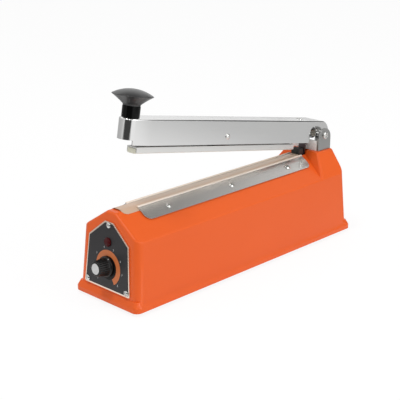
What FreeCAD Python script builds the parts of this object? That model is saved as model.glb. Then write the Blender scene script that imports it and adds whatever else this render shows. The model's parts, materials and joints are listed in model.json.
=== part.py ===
import FreeCAD, Part
import Sketcher
import math
import os
import re

V = FreeCAD.Vector

# Hand impulse sealer, 200 mm class. X runs across the machine, the timer panel faces -Y,
# the arm's hinge is at +Y and Z points up. The origin lies under the middle of the whole
# part, on the surface that the feet stand on. The arm is modelled at rest, sprung open.
# Lengths are in millimetres and angles in degrees.

sizes = {
    # moulded housing: heights count from its lower edge, an inset from the end of its skirt
    "stand": 3.0,
    "skirt_width": 83.0,
    "skirt_length": 302.0,
    "skirt_height": 9.0,
    "skirt_flare": 5.0,
    "skirt_ledge": 3.1,
    "side_inset": 2.7,
    "end_inset": 3.5,
    "skirt_corner": 6.0,
    "wall_corner": 7.0,
    "edge_round": 2.6,
    "shell": 2.6,
    "side_draft": 3.1,
    "front_draft": 5.0,
    "rear_draft": 3.8,
    "shoulder_height": 60.5,
    "ridge_height": 80.3,
    "ridge_width": 11.0,
    "hump_step": 3.7,
    "hump_width": 40.6,
    "hump_inset": 33.5,
    "hump_lean": 25.6,
    "hump_pad": 7.0,
    "boss_radius": 5.5,
    "boss_height": 20.0,
    "boss_side": 12.5,
    "boss_end": 28.0,
    # sealing bed, its cloth and the cover strips
    "bed_width": 8.4,
    "bed_height": 10.0,
    "bed_rise": 0.6,
    "bed_front_inset": 33.0,
    "bed_rear_inset": 51.4,
    "bed_floor": 4.5,
    "trough_end": 12.0,
    "seat_gap": 0.3,
    "tape_width": 6.0,
    "tape_thick": 0.15,
    "element_width": 2.6,
    "element_thick": 0.2,
    "cloth_thick": 0.25,
    "cloth_front_inset": 17.0,
    "cloth_rear_inset": 45.0,
    "cloth_drop": 5.0,
    "strip_width": 16.8,
    "strip_thick": 1.0,
    "strip_inset": 38.7,
    "strip_middle": 4.7,
    "strip_start": 0.8,
    "strip_lip": 1.7,
    "strip_lip_rise": 0.8,
    "strip_seat": 0.35,
    "strip_screw_radius": 1.3,
    "strip_screw_head": 3.0,
    "strip_screw_rise": 1.7,
    "cloth_lift": 0.05,
    "strip_corner": 6.5,
    "strip_screw_drop": 9.7,
    "strip_screw_inset": 30.5,
    "strip_screw_length": 9.0,
    "terminal_length": 8.0,
    "terminal_gap": 0.4,
    "terminal_height": 8.0,
    "terminal_screw_head": 2.4,
    "terminal_screw_radius": 1.3,
    "terminal_screw_length": 6.5,
    "terminal_screw_sunk": 1.4,
    "element_short": 1.0,
    "terminal_cover_width": 11.0,
    "terminal_cover_length": 6.7,
    "terminal_cover_height": 5.8,
    "bed_bevel": 0.4,
    "slot_front_inset": 43.0,
    "slot_rear_inset": 28.6,
    "slot_width": 12.0,
    # hinge bracket and pivot
    "pivot_inset": 19.7,
    "pivot_rise": 15.4,
    "pin_radius": 2.5,
    "pin_fit": 0.06,
    "bracket_width": 36.4,
    "bracket_sheet": 2.0,
    "web_height": 10.4,
    "ear_round": 9.9,
    "ear_drop": 2.9,
    "hinge_screw_radius": 1.5,
    "hinge_screw_length": 9.0,
    "hinge_screw_head": 2.8,
    "hinge_screw_rise": 1.7,
    "hinge_screw_half": 10.0,
    "hinge_screw_first": 4.0,
    "hinge_screw_pitch": 7.0,
    "pin_head_radius": 3.6,
    "pin_head_rise": 2.2,
    "pin_nut": 2.4,
    "pin_nut_radius": 4.6,
    "pin_end": 1.2,
    "spacer_radius": 4.5,
    "spacer_play": 0.2,
    "sleeve_radius": 3.6,
    # arm: u runs forward from the pivot along the arm and v above it
    "open_angle": 10.45,
    "arm_width": 24.0,
    "arm_sheet": 1.2,
    "arm_top": 13.7,
    "arm_bottom": 9.1,
    "arm_bend": 1.8,
    "neck_length": 15.7,
    "nose_inset": 28.6,
    "nose_radius": 9.5,
    "nose_cut": 4.9,
    "nose_bottom": 5.0,
    "notch_rear": 6.2,
    "notch_front": 16.4,
    "notch_top": 2.6,
    "rocker_offset": 0.6,
    "rocker_drop": 1.7,
    "rocker_radius": 2.0,
    "rocker_head_radius": 2.7,
    "rivet_radius": 1.2,
    "rivet_lip": 0.7,
    "rivet_tail": 0.5,
    # pressure bar
    "bar_width": 12.4,
    "bar_height": 5.2,
    "closed_gap": 0.6,
    "bar_short": 5.7,
    "bar_rear": 33.0,
    "bar_wall": 1.4,
    "rubber_width": 9.6,
    "rubber_fit": 0.05,
    "rubber_rise": 0.75,
    "rubber_overhang": 0.6,
    "lug_width": 8.0,
    "lug_length": 18.0,
    "lug_rise": 5.5,
    "lug_foot": 1.2,
    "rocker_end": 1.0,
    "rocker_nut": 2.4,
    "rocker_nut_radius": 4.0,
    "rocker_spacer_radius": 3.4,
    # handle
    "stem_radius": 7.95,
    "stem_height": 11.0,
    "cap_radius": 18.1,
    "cap_rim": 6.6,
    "cap_flare": 9.5,
    "cap_edge": 0.9,
    "cap_dome": 6.6,
    "handle_screw_radius": 2.0,
    "handle_washer_radius": 4.5,
    "handle_washer_thick": 1.0,
    "handle_screw_head": 3.6,
    "handle_screw_rise": 2.2,
    # striker under the arm and the switch that it works
    "striker_width": 8.0,
    "striker_thick": 1.8,
    "striker_tip": 26.6,
    "striker_reach": 10.4,
    "striker_flange": 19.0,
    "spring_radius": 5.4,
    "wire": 0.45,
    "spring_turns": 7.0,
    "spring_leg": 9.0,
    "spring_drop": 12.0,
    "plunger_radius": 1.6,
    "plunger_travel": 1.2,
    "switch_length": 27.8,
    "switch_width": 10.2,
    "switch_height": 15.8,
    "switch_rear": 8.0,
    "switch_eye_inset": 3.0,
    "switch_screw_radius": 1.5,
    "switch_screw_head": 2.6,
    "switch_screw_rise": 1.5,
    "switch_screw_end": 1.0,
    "switch_foot": 14.0,
    "switch_foot_eye": 8.0,
    "switch_foot_front": 16.0,
    "plunger_stand": 6.6,
    "plunger_sunk": 6.0,
    "plunger_gap": 0.3,
    # timer panel: w runs up the front wall from the top of the skirt
    "panel_thick": 1.2,
    "overlay_thick": 0.3,
    "panel_border": 1.4,
    "panel_low_side": 9.2,
    "panel_low": 1.8,
    "panel_mid_side": 12.8,
    "panel_mid_drop": 5.0,
    "panel_top_half": 5.3,
    "panel_top_drop": 8.4,
    "panel_screw_drop": 2.9,
    "panel_screw_low": 5.4,
    "panel_screw_side": 4.1,
    "panel_screw_radius": 1.3,
    "panel_screw_head": 2.7,
    "panel_screw_rise": 1.5,
    "panel_screw_length": 7.0,
    "panel_corner": 1.4,
    "window_half": 19.0,
    "window_low": 8.0,
    "window_top": 44.0,
    "lamp_up": 44.9,
    "lamp_radius": 4.0,
    "lamp_rise": 2.4,
    "lamp_sunk": 4.0,
    "lamp_depth": 14.0,
    "lamp_wall": 1.2,
    "dial_up": 23.0,
    "knob_base_radius": 9.3,
    "knob_skirt": 2.2,
    "knob_recess": 6.6,
    "knob_recess_depth": 2.8,
    "cap_sink": 0.8,
    "flute_count": 20,
    "flute_radius": 0.7,
    "knob_radius": 7.9,
    "knob_length": 13.4,
    "knob_gap": 0.5,
    "knob_cap_radius": 6.1,
    "shaft_radius": 3.0,
    "shaft_depth": 5.0,
    "shaft_short": 1.9,
    "bushing_radius": 3.6,
    "bushing_rise": 3.0,
    "timer_nut_radius": 5.6,
    "timer_nut_height": 2.0,
    "timer_radius": 12.0,
    "timer_depth": 9.0,
    "board_width": 44.0,
    "board_height": 36.0,
    "board_low": 3.0,
    "board_thick": 1.6,
    # inside
    "base_sheet": 1.2,
    "base_recess": 0.8,
    "base_corner": 4.0,
    "base_gap": 0.6,
    "foot_radius": 7.0,
    "foot_bevel": 1.0,
    "foot_recess": 3.6,
    "foot_seat": 2.2,
    "foot_screw_radius": 1.7,
    "screw_fit": 0.1,
    "core_length": 66.0,
    "core_headroom": 25.3,
    "core_stack": 30.0,
    "core_middle": 10.0,
    "leg_width": 11.0,
    "coil_depth": 9.8,
    "coil_corner": 3.0,
    "coil_gap": 0.4,
    "bobbin_wall": 1.0,
    "winding_gap": 0.2,
    "strap_sheet": 1.0,
    "strap_width": 20.0,
    "strap_gap": 0.1,
    "strap_foot": 12.0,
    "strap_screw_radius": 1.5,
    "strap_screw_head": 2.9,
    "strap_screw_rise": 1.8,
    "strap_screw_end": 1.4,
    "strap_screw_inset": 1.0,
    "gland_height": 22.0,
    "gland_radius": 8.0,
    "gland_bore": 3.6,
    "gland_flange": 2.0,
}


def tangent(angle):
    return math.tan(math.radians(angle))


# sizes that follow from the ones above
half_width = sizes["skirt_width"] / 2 - sizes["side_inset"]
half_length = sizes["skirt_length"] / 2 - sizes["end_inset"]
rise = sizes["shoulder_height"] - sizes["skirt_height"]
sizes["hump_height"] = sizes["ridge_height"] + sizes["hump_step"]
for reach in ("hump", "bed_front", "bed_rear", "cloth_front", "cloth_rear",
              "slot_front", "slot_rear", "pivot"):
    sizes[reach + "_reach"] = sizes["skirt_length"] / 2 - sizes[reach + "_inset"]
sizes["boss_across"] = sizes["skirt_width"] - 2 * sizes["boss_side"]
sizes["boss_along"] = sizes["skirt_length"] - 2 * sizes["boss_end"]
sizes["strip_length"] = sizes["skirt_length"] - 2 * sizes["strip_inset"]
sizes["strip_screw_pitch"] = sizes["strip_length"] / 2 - sizes["strip_screw_inset"]
sizes["nose_reach"] = sizes["pivot_reach"] + sizes["skirt_length"] / 2 - sizes["nose_inset"]
sizes["neck_start"] = sizes["nose_reach"] - sizes["neck_length"]
sizes["nose_cut_start"] = sizes["nose_reach"] + sizes["nose_cut"]
sizes["bar_front"] = sizes["nose_reach"] - sizes["bar_short"]
sizes["rocker_reach"] = (sizes["bar_front"] + sizes["bar_rear"]) / 2 + sizes["rocker_offset"]
sizes["panel_low_half"] = half_width - sizes["panel_low_side"]
sizes["panel_mid_half"] = half_width - sizes["panel_mid_side"]
sizes["panel_mid"] = rise - sizes["panel_mid_drop"]
sizes["panel_top"] = sizes["ridge_height"] - sizes["skirt_height"] - sizes["panel_top_drop"]
sizes["panel_screw_top"] = sizes["panel_top"] - sizes["panel_screw_drop"]
sizes["panel_screw_half"] = sizes["panel_low_half"] - sizes["panel_screw_side"]
sizes["core_height"] = sizes["ridge_height"] - sizes["core_headroom"]
sizes["shoulder_half"] = half_width - rise * tangent(sizes["side_draft"])
flank_run = sizes["shoulder_half"] - sizes["ridge_width"] / 2
flank_fall = sizes["ridge_height"] - sizes["shoulder_height"]
flank_length = math.hypot(flank_run, flank_fall)
sizes["flank_cos"] = flank_run / flank_length
sizes["flank_sin"] = flank_fall / flank_length
sizes["flank_angle"] = math.degrees(math.atan2(flank_fall, flank_run))
panel_skin = sizes["panel_thick"] + sizes["overlay_thick"]
knob_reach = panel_skin + sizes["knob_gap"] + sizes["knob_length"]
front_reach = half_length + knob_reach * math.cos(math.radians(sizes["front_draft"]))
front_reach -= (sizes["dial_up"] - sizes["knob_cap_radius"]) * math.sin(math.radians(sizes["front_draft"]))
sizes["middle"] = (front_reach - sizes["skirt_length"] / 2) / 2
sizes["wall_half"] = half_width
sizes["wall_end"] = half_length
sizes["pivot_y"] = sizes["middle"] + sizes["pivot_reach"]
sizes["pivot_z"] = sizes["stand"] + sizes["hump_height"] + sizes["pivot_rise"]
sizes["ridge_z"] = sizes["stand"] + sizes["ridge_height"]
sizes["hump_z"] = sizes["stand"] + sizes["hump_height"]
sizes["bed_z"] = sizes["ridge_z"] + sizes["bed_rise"]
sizes["floor_z"] = sizes["stand"] + sizes["base_recess"] + sizes["base_sheet"]
sizes["tilt"] = 90 - sizes["front_draft"]
sizes["panel_skin"] = panel_skin
sizes["core_y"] = sizes["middle"] + sizes["core_middle"]
sizes["cloth_z"] = sizes["bed_z"] + sizes["tape_thick"] + sizes["element_thick"] + sizes["cloth_thick"]
sizes["rubber_bottom"] = sizes["pivot_z"] - sizes["cloth_z"] - sizes["closed_gap"]
half_cap, dome = sizes["cap_radius"], sizes["cap_dome"]
sizes["dome_radius"] = (half_cap ** 2 + dome ** 2) / (2 * dome)
# with the arm closed it lies level, and the striker's tip is at its lowest
sizes["plunger_z"] = sizes["pivot_z"] - sizes["striker_tip"] - sizes["plunger_gap"]
sizes["switch_y"] = sizes["pivot_y"] - sizes["striker_reach"] - sizes["striker_thick"] / 2
sizes["switch_foot_x"] = sizes["switch_width"] / 2 + sizes["switch_foot_eye"]

doc = FreeCAD.newDocument("HandImpulseSealer")
sheet = doc.addObject("Spreadsheet::Sheet", "Sizes")
for row, (alias, number) in enumerate(sizes.items(), start=1):
    sheet.set("A%d" % row, alias)
    sheet.set("B%d" % row, repr(float(number)))
    sheet.setAlias("B%d" % row, alias)
doc.recompute()

NAME = re.compile(r"[A-Za-z_]\w*")
X_AXIS, Y_AXIS, Z_AXIS = V(1, 0, 0), V(0, 1, 0), V(0, 0, 1)
TURN = {
    "XY": FreeCAD.Rotation(),
    "XZ": FreeCAD.Rotation(X_AXIS, 90),
    "YZ": FreeCAD.Rotation(V(1, 1, 1), 120),
}
NORMAL = {"XY": ("z", Z_AXIS), "XZ": ("y", Y_AXIS), "YZ": ("x", X_AXIS)}
ALONG = {"X": FreeCAD.Rotation(Y_AXIS, 90), "Y": FreeCAD.Rotation(X_AXIS, -90), "Z": FreeCAD.Rotation()}
nodes = {}


def formula(text):
    """A sum of named sizes as the sheet's own words, such as Sizes.arm_width/2."""
    return NAME.sub(lambda word: "Sizes." + word.group(), str(text))


def value(text):
    """The number that such a sum stands for."""
    total = 0.0
    for sign, term in re.findall(r"([+-]?)([^+-]+)", str(text).replace(" ", "")):
        product = 1.0
        for mark, factor in re.findall(r"([*/]?)([\w.]+)", term):
            number = sizes[factor] if NAME.match(factor) else float(factor)
            product = product / number if mark == "/" else product * number
        total += -product if sign == "-" else product
    return total


def bind(item, **fields):
    for field, text in fields.items():
        setattr(item, field, value(text))
        item.setExpression(field, formula(text))
    return item


def place(item, x="0", y="0", z="0", turn=None, axis=None, angle=None):
    """Put an object at (x, y, z), turned by a fixed rotation or by a named angle about an axis."""
    if axis is not None:
        turn = FreeCAD.Rotation(axis, value(angle))
    turn = turn or FreeCAD.Rotation()
    item.Placement = FreeCAD.Placement(V(value(x), value(y), value(z)), turn)
    for letter, text in (("x", x), ("y", y), ("z", z)):
        item.setExpression("Placement.Base." + letter, formula(text))
    if axis is not None:
        item.setExpression("Placement.Rotation.Angle", formula(angle))
    return item


def put(item, where):
    """Put an object at a worked-out place."""
    for letter in "xyz":
        item.setExpression("Placement.Base." + letter, None)
    item.Placement = where
    return item


def outline(name, plane, points, at="0"):
    """A closed sketch whose corners are bound to the sheet.

    A corner is (first, second), or (first, second, radius, side) where the run that ends
    there is an arc, bulging to the left (1) or right (-1) of the way it is drawn.
    """
    item = doc.addObject("Sketcher::SketchObject", name)
    letter, _ = NORMAL[plane]
    place(item, turn=TURN[plane], **{letter: at})
    corners = [V(value(p[0]), value(p[1]), 0) for p in points]
    starts = []
    for k, point in enumerate(points):
        first, last = corners[k - 1], corners[k]
        if len(point) == 2:
            starts.append((item.addGeometry(Part.LineSegment(first, last)), 1, 2))
            continue
        radius, side = value(point[2]), point[3]
        chord = last - first
        left = V(-chord.y, chord.x, 0).normalize()
        back = math.sqrt(max(radius ** 2 - (chord.Length / 2) ** 2, 0))
        centre = (first + last) * 0.5 - left * (back * side)
        turn_on = [math.atan2(p.y - centre.y, p.x - centre.x) for p in (first, last)]
        circle = Part.Circle(centre, Z_AXIS, radius)
        if side < 0:
            starts.append((item.addGeometry(Part.ArcOfCircle(circle, *turn_on)), 1, 2))
        else:
            starts.append((item.addGeometry(Part.ArcOfCircle(circle, *turn_on[::-1])), 2, 1))
    for k, point in enumerate(points):
        piece, _, end = starts[k]
        after, start, _ = starts[(k + 1) % len(points)]
        item.addConstraint(Sketcher.Constraint("Coincident", piece, end, after, start))
        if len(point) == 4:
            tie(item, "Radius", (piece,), point[2])
        for kind, text in (("DistanceX", point[0]), ("DistanceY", point[1])):
            tie(item, kind, (-1, 1, piece, end), text)
    return item


def tie(item, kind, where, text):
    """Fix one distance of a sketch at a named size, or at an axis where it is nothing."""
    if kind != "Radius" and str(text) == "0":
        line = -2 if kind == "DistanceX" else -1
        item.addConstraint(Sketcher.Constraint("PointOnObject", where[2], where[3], line))
        return
    number = item.addConstraint(Sketcher.Constraint(kind, *where, value(text)))
    item.setExpression("Constraints[%d]" % number, formula(text))


def prism(name, plane, points, start, length):
    """An outline pushed along its plane's normal from start."""
    base = outline(name + "_outline", plane, points, start)
    item = doc.addObject("Part::Extrusion", name)
    item.Base = base
    item.DirMode = "Custom"
    item.Dir = NORMAL[plane][1]
    item.Solid = True
    return bind(item, LengthFwd=length)


def turned(name, points):
    """A profile of (radius, height) corners spun about Z."""
    base = outline(name + "_outline", "XZ", points)
    item = doc.addObject("Part::Revolution", name)
    item.Source = base
    item.Axis = Z_AXIS
    item.Base = V(0, 0, 0)
    item.Angle = 360
    item.Solid = True
    return item


def block(name, corner, size):
    item = doc.addObject("Part::Box", name)
    bind(item, Length=size[0], Width=size[1], Height=size[2])
    return place(item, *corner)


def rod(name, radius, length, at, along="Z"):
    item = doc.addObject("Part::Cylinder", name)
    bind(item, Radius=radius, Height=length)
    return place(item, *at, turn=ALONG[along])


def join(name, *parts):
    item = doc.addObject("Part::MultiFuse", name)
    item.Shapes = list(parts)
    return item


def overlap(name, *parts):
    item = doc.addObject("Part::MultiCommon", name)
    item.Shapes = list(parts)
    return item


def cut(name, base, *tools):
    item = doc.addObject("Part::Cut", name)
    item.Base = base
    item.Tool = tools[0] if len(tools) == 1 else join(name + "_tools", *tools)
    return item


def rounded(name, base, radius, wanted, chamfer=None):
    """Fillet, or bevel, the edges of a shape that the test picks."""
    doc.recompute()
    item = doc.addObject("Part::Chamfer" if chamfer else "Part::Fillet", name)
    item.Base = base
    first, second = value(radius), value(chamfer or radius)
    picked = [k for k, edge in enumerate(base.Shape.Edges, start=1) if wanted(edge)]
    item.Edges = [(k, first, second) for k in picked]
    return item


def node(label, item):
    """Keep an object as one sub-part, named as its file."""
    item.Label = label
    nodes[label] = item
    return item


def on_arm(item):
    return place(item, "0", "pivot_y", "pivot_z", axis=V(-1, 0, 0), angle="open_angle")


def on_panel(item):
    return place(item, "0", "middle - wall_end", "stand + skirt_height", axis=X_AXIS, angle="tilt")


def copies(label, master, places):
    """One node that holds equal solids, each a copy of the master at its own place."""
    doc.recompute()
    parts = []
    for k, where in enumerate(places, start=1):
        item = doc.addObject("Part::Feature", "%s_%d" % (label, k))
        item.Shape = master.Shape.copy()
        item.Placement = where
        parts.append(item)
    item = doc.addObject("Part::Compound", label + "_set")
    item.Links = parts
    return node(label, item)


def spot(x, y, z, turn=None):
    """A place given by named sizes."""
    return FreeCAD.Placement(V(value(x), value(y), value(z)), turn or FreeCAD.Rotation())


def arm_frame():
    return spot("0", "pivot_y", "pivot_z", FreeCAD.Rotation(V(-1, 0, 0), sizes["open_angle"]))


def panel_frame():
    return spot("0", "middle - wall_end", "stand + skirt_height", FreeCAD.Rotation(X_AXIS, sizes["tilt"]))


def flank(along, out):
    """The (x, z) of a point so far down the right flank from the ridge's edge, and so far out of it."""
    x = value("ridge_width/2") + along * sizes["flank_cos"] + out * sizes["flank_sin"]
    z = -value("bed_rise") - along * sizes["flank_sin"] + out * sizes["flank_cos"]
    return x, z


def flank_spot(side, step, out):
    """The place, square to a flank, of one of the cover strip's screws."""
    x, z = flank(value("strip_screw_drop"), value(out))
    turn = FreeCAD.Rotation(Y_AXIS, side * sizes["flank_angle"])
    y = value("middle - strip_middle " + step)
    return FreeCAD.Placement(V(side * x, y, sizes["bed_z"] + z), turn)


def head_dome(radius, rise):
    """The radius of a dome that rises so much over a head."""
    half, up = value(radius), value(rise)
    return (half ** 2 + up ** 2) / (2 * up)


def standing(edge):
    return edge.BoundBox.ZLength > 0.99 * edge.Length


def upright(edge):
    low, high = sorted(p.Point.z for p in edge.Vertexes[:1] + edge.Vertexes[-1:])
    return high - low > 3 and abs(edge.BoundBox.ZLength - edge.Length) < 0.15 * edge.Length


def minus(text):
    """The same sum with every sign turned round."""
    text = str(text).replace(" ", "")
    text = text if text[0] in "+-" else "+" + text
    return text.translate(str.maketrans("+-", "-+")).lstrip("+")


def screw(name, shank, length, head, rise):
    """A domed screw whose head rests on the plane z = 0 and whose shank points down."""
    edge = value(rise) / 4
    return turned(name, [
        ("0", minus(length)),
        (shank, minus(length)),
        (shank, "0"),
        (head, "0"),
        (head, repr(edge)),
        ("0", rise, repr(head_dome(head, repr(value(rise) - edge))), -1),
    ])


def slotted(name, item, head, rise):
    """The same screw with a slot across its head."""
    reach = value(head) + 1
    low = repr(value(rise) * 0.45)
    slot = block(name + "_slot", (repr(-reach), "-0.4", low), (repr(2 * reach), "0.8", rise))
    return cut(name, item, slot)


def sunk_profile(room):
    """Half of a countersunk screw, or of the hole for one when there is room around it."""
    shank = "terminal_screw_radius + " + room
    return [("0", "-terminal_screw_length"), (shank, "-terminal_screw_length"),
            (shank, "-terminal_screw_sunk"), ("terminal_screw_head + " + room, "0"), ("0", "0")]


def hexagon(name, corner, height, bore):
    """A hexagon nut standing on z = 0."""
    body = doc.addObject("Part::Prism", name + "_blank")
    body.Polygon = 6
    bind(body, Circumradius=corner, Height=height)
    return cut(name, body, rod(name + "_bore", bore, repr(value(height) + 2), ("0", "0", "-1")))


FEET = [(x, "middle %s boss_along/2" % sign) for x in ("-boss_across/2", "boss_across/2") for sign in "-+"]
HINGE_SCREWS = [(x, "middle + slot_rear_reach + hinge_screw_first" + step)
                for x in ("-hinge_screw_half", "hinge_screw_half") for step in ("", " + hinge_screw_pitch")]
PANEL_SCREWS = [("0", "panel_screw_top"), ("-panel_screw_half", "panel_screw_low"),
                ("panel_screw_half", "panel_screw_low")]
STRAP_ENDS = ["core_y - core_length/2 - strap_foot/2 - strap_screw_inset",
              "core_y + core_length/2 + strap_foot/2 + strap_screw_inset"]
SWITCH_FEET = ["switch_y - switch_foot_front", "switch_y"]
SWITCH_EYES = [(y, "plunger_z - plunger_stand - switch_height + switch_eye_inset")
               for y in ("switch_y + switch_rear - switch_length + switch_eye_inset",
                         "switch_y + switch_rear - switch_eye_inset")]
RIVETS = [(x, "-striker_reach - striker_flange/2 - 2") for x in ("-2.2", "2.2")]


def housing_form(name, inset):
    """The housing's outer form, or its hollow when inset is the wall's thickness."""
    t = "" if inset == "0" else " - " + inset
    wedge = doc.addObject("Part::Wedge", name + "_walls")
    depth = value(inset)
    foot, top = 0.0, sizes["hump_height"] - depth
    for field, height in (("", foot), ("2", top)):
        up = height - sizes["skirt_height"]
        side = sizes["wall_half"] - up * tangent(sizes["side_draft"]) - depth
        front = sizes["wall_end"] - up * tangent(sizes["front_draft"]) - depth
        rear = sizes["wall_end"] - up * tangent(sizes["rear_draft"]) - depth
        setattr(wedge, "X%smin" % field, -side)
        setattr(wedge, "X%smax" % field, side)
        setattr(wedge, "Z%smin" % field, -rear)
        setattr(wedge, "Z%smax" % field, front)
    wedge.Ymin = foot
    bind(wedge, Ymax="hump_height" + t)
    place(wedge, y="middle", z="stand", turn=FreeCAD.Rotation(X_AXIS, 90))
    walls = rounded(name + "_corners", wedge, "wall_corner" if not t else "wall_corner - shell", upright)

    def roof(label, half, height, start, length):
        """A prism under two sloping planes that meet the shoulder line."""
        run = sizes["shoulder_half"] - value(half)
        slope = (value(height) - sizes["shoulder_height"]) / run
        lower = depth * math.hypot(1, slope)
        crown = value(height) - depth
        crown_half = value(half) + (depth - lower) / slope
        eave = sizes["skirt_width"] / 2
        eave_height = value(height) - (eave - value(half)) * slope - lower
        corners = [(-eave, -1.0), (eave, -1.0), (eave, eave_height), (crown_half, crown),
                   (-crown_half, crown), (-eave, eave_height)]
        z0 = sizes["stand"]
        face = Part.Face(Part.makePolygon([V(x, 0, z + z0) for x, z in corners + corners[:1]]))
        item = doc.addObject("Part::Feature", label)
        item.Shape = face.extrude(V(0, value(length), 0))
        return place(item, y=start)

    ridge = roof(name + "_ridge", "ridge_width/2", "ridge_height", "middle - skirt_length/2", "skirt_length")
    hump = roof(name + "_hump", "hump_width/2", "hump_height", "middle - skirt_length/2", "skirt_length")
    lean = tangent(sizes["hump_lean"])
    front = sizes["hump_reach"] + depth / math.cos(math.radians(sizes["hump_lean"]))
    high = sizes["hump_height"] + 6
    side = [(front - (sizes["hump_height"] + 2) * lean, -2.0), (sizes["skirt_length"] / 2 + 2, -2.0),
            (sizes["skirt_length"] / 2 + 2, high), (front + 6 * lean, high)]
    half = sizes["skirt_width"] / 2 + 1
    points = [V(-half, y + sizes["middle"], z + sizes["stand"]) for y, z in side + side[:1]]
    behind = doc.addObject("Part::Feature", name + "_behind")
    behind.Shape = Part.Face(Part.makePolygon(points)).extrude(V(2 * half, 0, 0))
    block_over = overlap(name + "_hump_block", hump, behind)
    return overlap(name, walls, join(name + "_roof", ridge, block_over))


def make_housing():
    body = housing_form("housing_outer", "0")
    top = sizes["stand"] + sizes["shoulder_height"]

    def outer_edge(edge):
        box = edge.BoundBox
        low_run = box.ZMax < top - 0.5
        rising = upright(edge)
        joint = sizes["middle"] + sizes["hump_reach"]
        inner = box.ZMin < top + 0.5 and box.YMax < joint and box.YMin > joint - 20 and box.ZLength > 5
        foot = inner and box.XLength > sizes["ridge_width"] and box.ZMax < sizes["ridge_z"] + 0.1
        hollow = box.ZLength < 0.1 and abs(box.ZMin - sizes["ridge_z"]) < 0.1 and box.YMin > joint - 20
        return not (low_run or rising or foot or hollow)

    body = rounded("housing_edges", body, "edge_round", outer_edge)
    skirt = block("skirt_block", ("-skirt_width/2", "middle - skirt_length/2", "stand"),
                  ("skirt_width", "skirt_length", "skirt_height"))
    skirt = rounded("skirt_corners", skirt, "skirt_corner", upright)
    crest = sizes["stand"] + sizes["skirt_height"]
    skirt = rounded("skirt_slope", skirt, "skirt_flare", lambda edge: edge.BoundBox.ZMin > crest - 0.01,
                    chamfer="skirt_ledge")
    solid = join("housing_solid", body, skirt)

    hollow = housing_form("housing_hollow", "shell")
    low = block("housing_mouth", ("-wall_half + shell", "middle - wall_end + shell", "stand - 2"),
                ("2*wall_half - 2*shell", "2*wall_end - 2*shell", "6"))
    # the trough that holds the bed, the pad under the hinge and the screw bosses stay solid
    trough = block("trough", ("-bed_width/2 - shell", "middle - bed_front_reach - trough_end",
                              "bed_z - bed_height - bed_floor"),
                   ("bed_width + 2*shell", "bed_front_reach + slot_rear_reach + trough_end + shell",
                    "bed_height + bed_floor"))
    pad = block("hinge_pad", ("-bracket_width/2 + bracket_sheet", "middle + slot_rear_reach",
                              "hump_z - hump_pad - shell"),
                ("bracket_width - 2*bracket_sheet", "pivot_reach + ear_round - slot_rear_reach - 1",
                 "hump_pad"))
    bosses = [rod("boss_%d" % k, "boss_radius", "boss_height", (x, y, "floor_z"))
              for k, (x, y) in enumerate(FEET)]
    # a rib ties each boss to the side wall
    for k, (x, y) in enumerate(FEET):
        start = "boss_across/2" if "-" not in x else "-skirt_width/2"
        bosses.append(block("boss_rib_%d" % k, (start, y + " - shell/2", "floor_z"),
                            ("skirt_width/2 - boss_across/2", "shell", "boss_height")))
    inside = cut("housing_inside", hollow, trough, pad, *bosses)
    shell = cut("housing_shell", solid, inside, low)
    bosses_again = overlap("boss_stock", join("boss_rods", *bosses), solid)
    shell = join("housing_bossed", shell, bosses_again)

    holes = [
        block("bed_slot", ("-bed_width/2 - seat_gap/2",
                           "middle - bed_front_reach - terminal_length - 2*terminal_gap",
                           "bed_z - bed_height"),
              ("bed_width + seat_gap",
               "bed_front_reach + slot_front_reach + terminal_length + 2*terminal_gap", "40")),
        block("striker_slot", ("-slot_width/2", "middle + slot_front_reach",
                               "bed_z - bed_height - bed_floor - 10"),
              ("slot_width", "slot_rear_reach - slot_front_reach", "60")),
    ]
    holes += [rod("boss_hole_%d" % k, "foot_screw_radius + screw_fit/2", "boss_height - 3",
                  (x, y, "floor_z - 1"))
              for k, (x, y) in enumerate(FEET)]
    holes += [rod("hinge_hole_%d" % k, "hinge_screw_radius + screw_fit/2", "12", (x, y, "hump_z - 9"))
              for k, (x, y) in enumerate(HINGE_SCREWS)]
    for k, step in enumerate(["- strip_screw_pitch", "", "+ strip_screw_pitch"]):
        for side in ("", "-"):
            hole = rod("strip_hole_%d%s" % (k, "left" if side else "right"),
                       "strip_screw_radius + screw_fit/2",
                       "14", ("0", "0", "0"))
            holes.append(put(hole, flank_spot(-1 if side else 1, step, "-8")))
    window = block("window", ("-window_half", "window_low", "-10"),
                   ("2*window_half", "window_top - window_low", "20"))
    lamp_hole = rod("lamp_hole", "lamp_radius + 2", "20", ("0", "lamp_up", "-10"))
    front_holes = [window, lamp_hole]
    front_holes += [rod("panel_hole_%d" % k, "panel_screw_radius + screw_fit/2", "20", (x, w, "-10"))
                    for k, (x, w) in enumerate(PANEL_SCREWS)]
    holes.append(on_panel(join("front_holes", *front_holes)))
    gland_hole = rod("gland_hole", "gland_radius - 1.5", "20", ("0", "0", "-10"))
    holes.append(on_rear(gland_hole, "-10"))
    return node("housing", cut("housing_body", shell, *holes))


def on_rear(item, depth):
    turn = FreeCAD.Rotation(X_AXIS, sizes["rear_draft"] - 90)
    up = sizes["gland_height"] - sizes["skirt_height"]
    y = sizes["middle"] + sizes["wall_end"] - up * tangent(sizes["rear_draft"])
    normal = turn.multVec(Z_AXIS)
    spot_on_wall = V(0, y, sizes["stand"] + sizes["gland_height"]) + normal * value(depth)
    return put(item, FreeCAD.Placement(spot_on_wall, turn))


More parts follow.
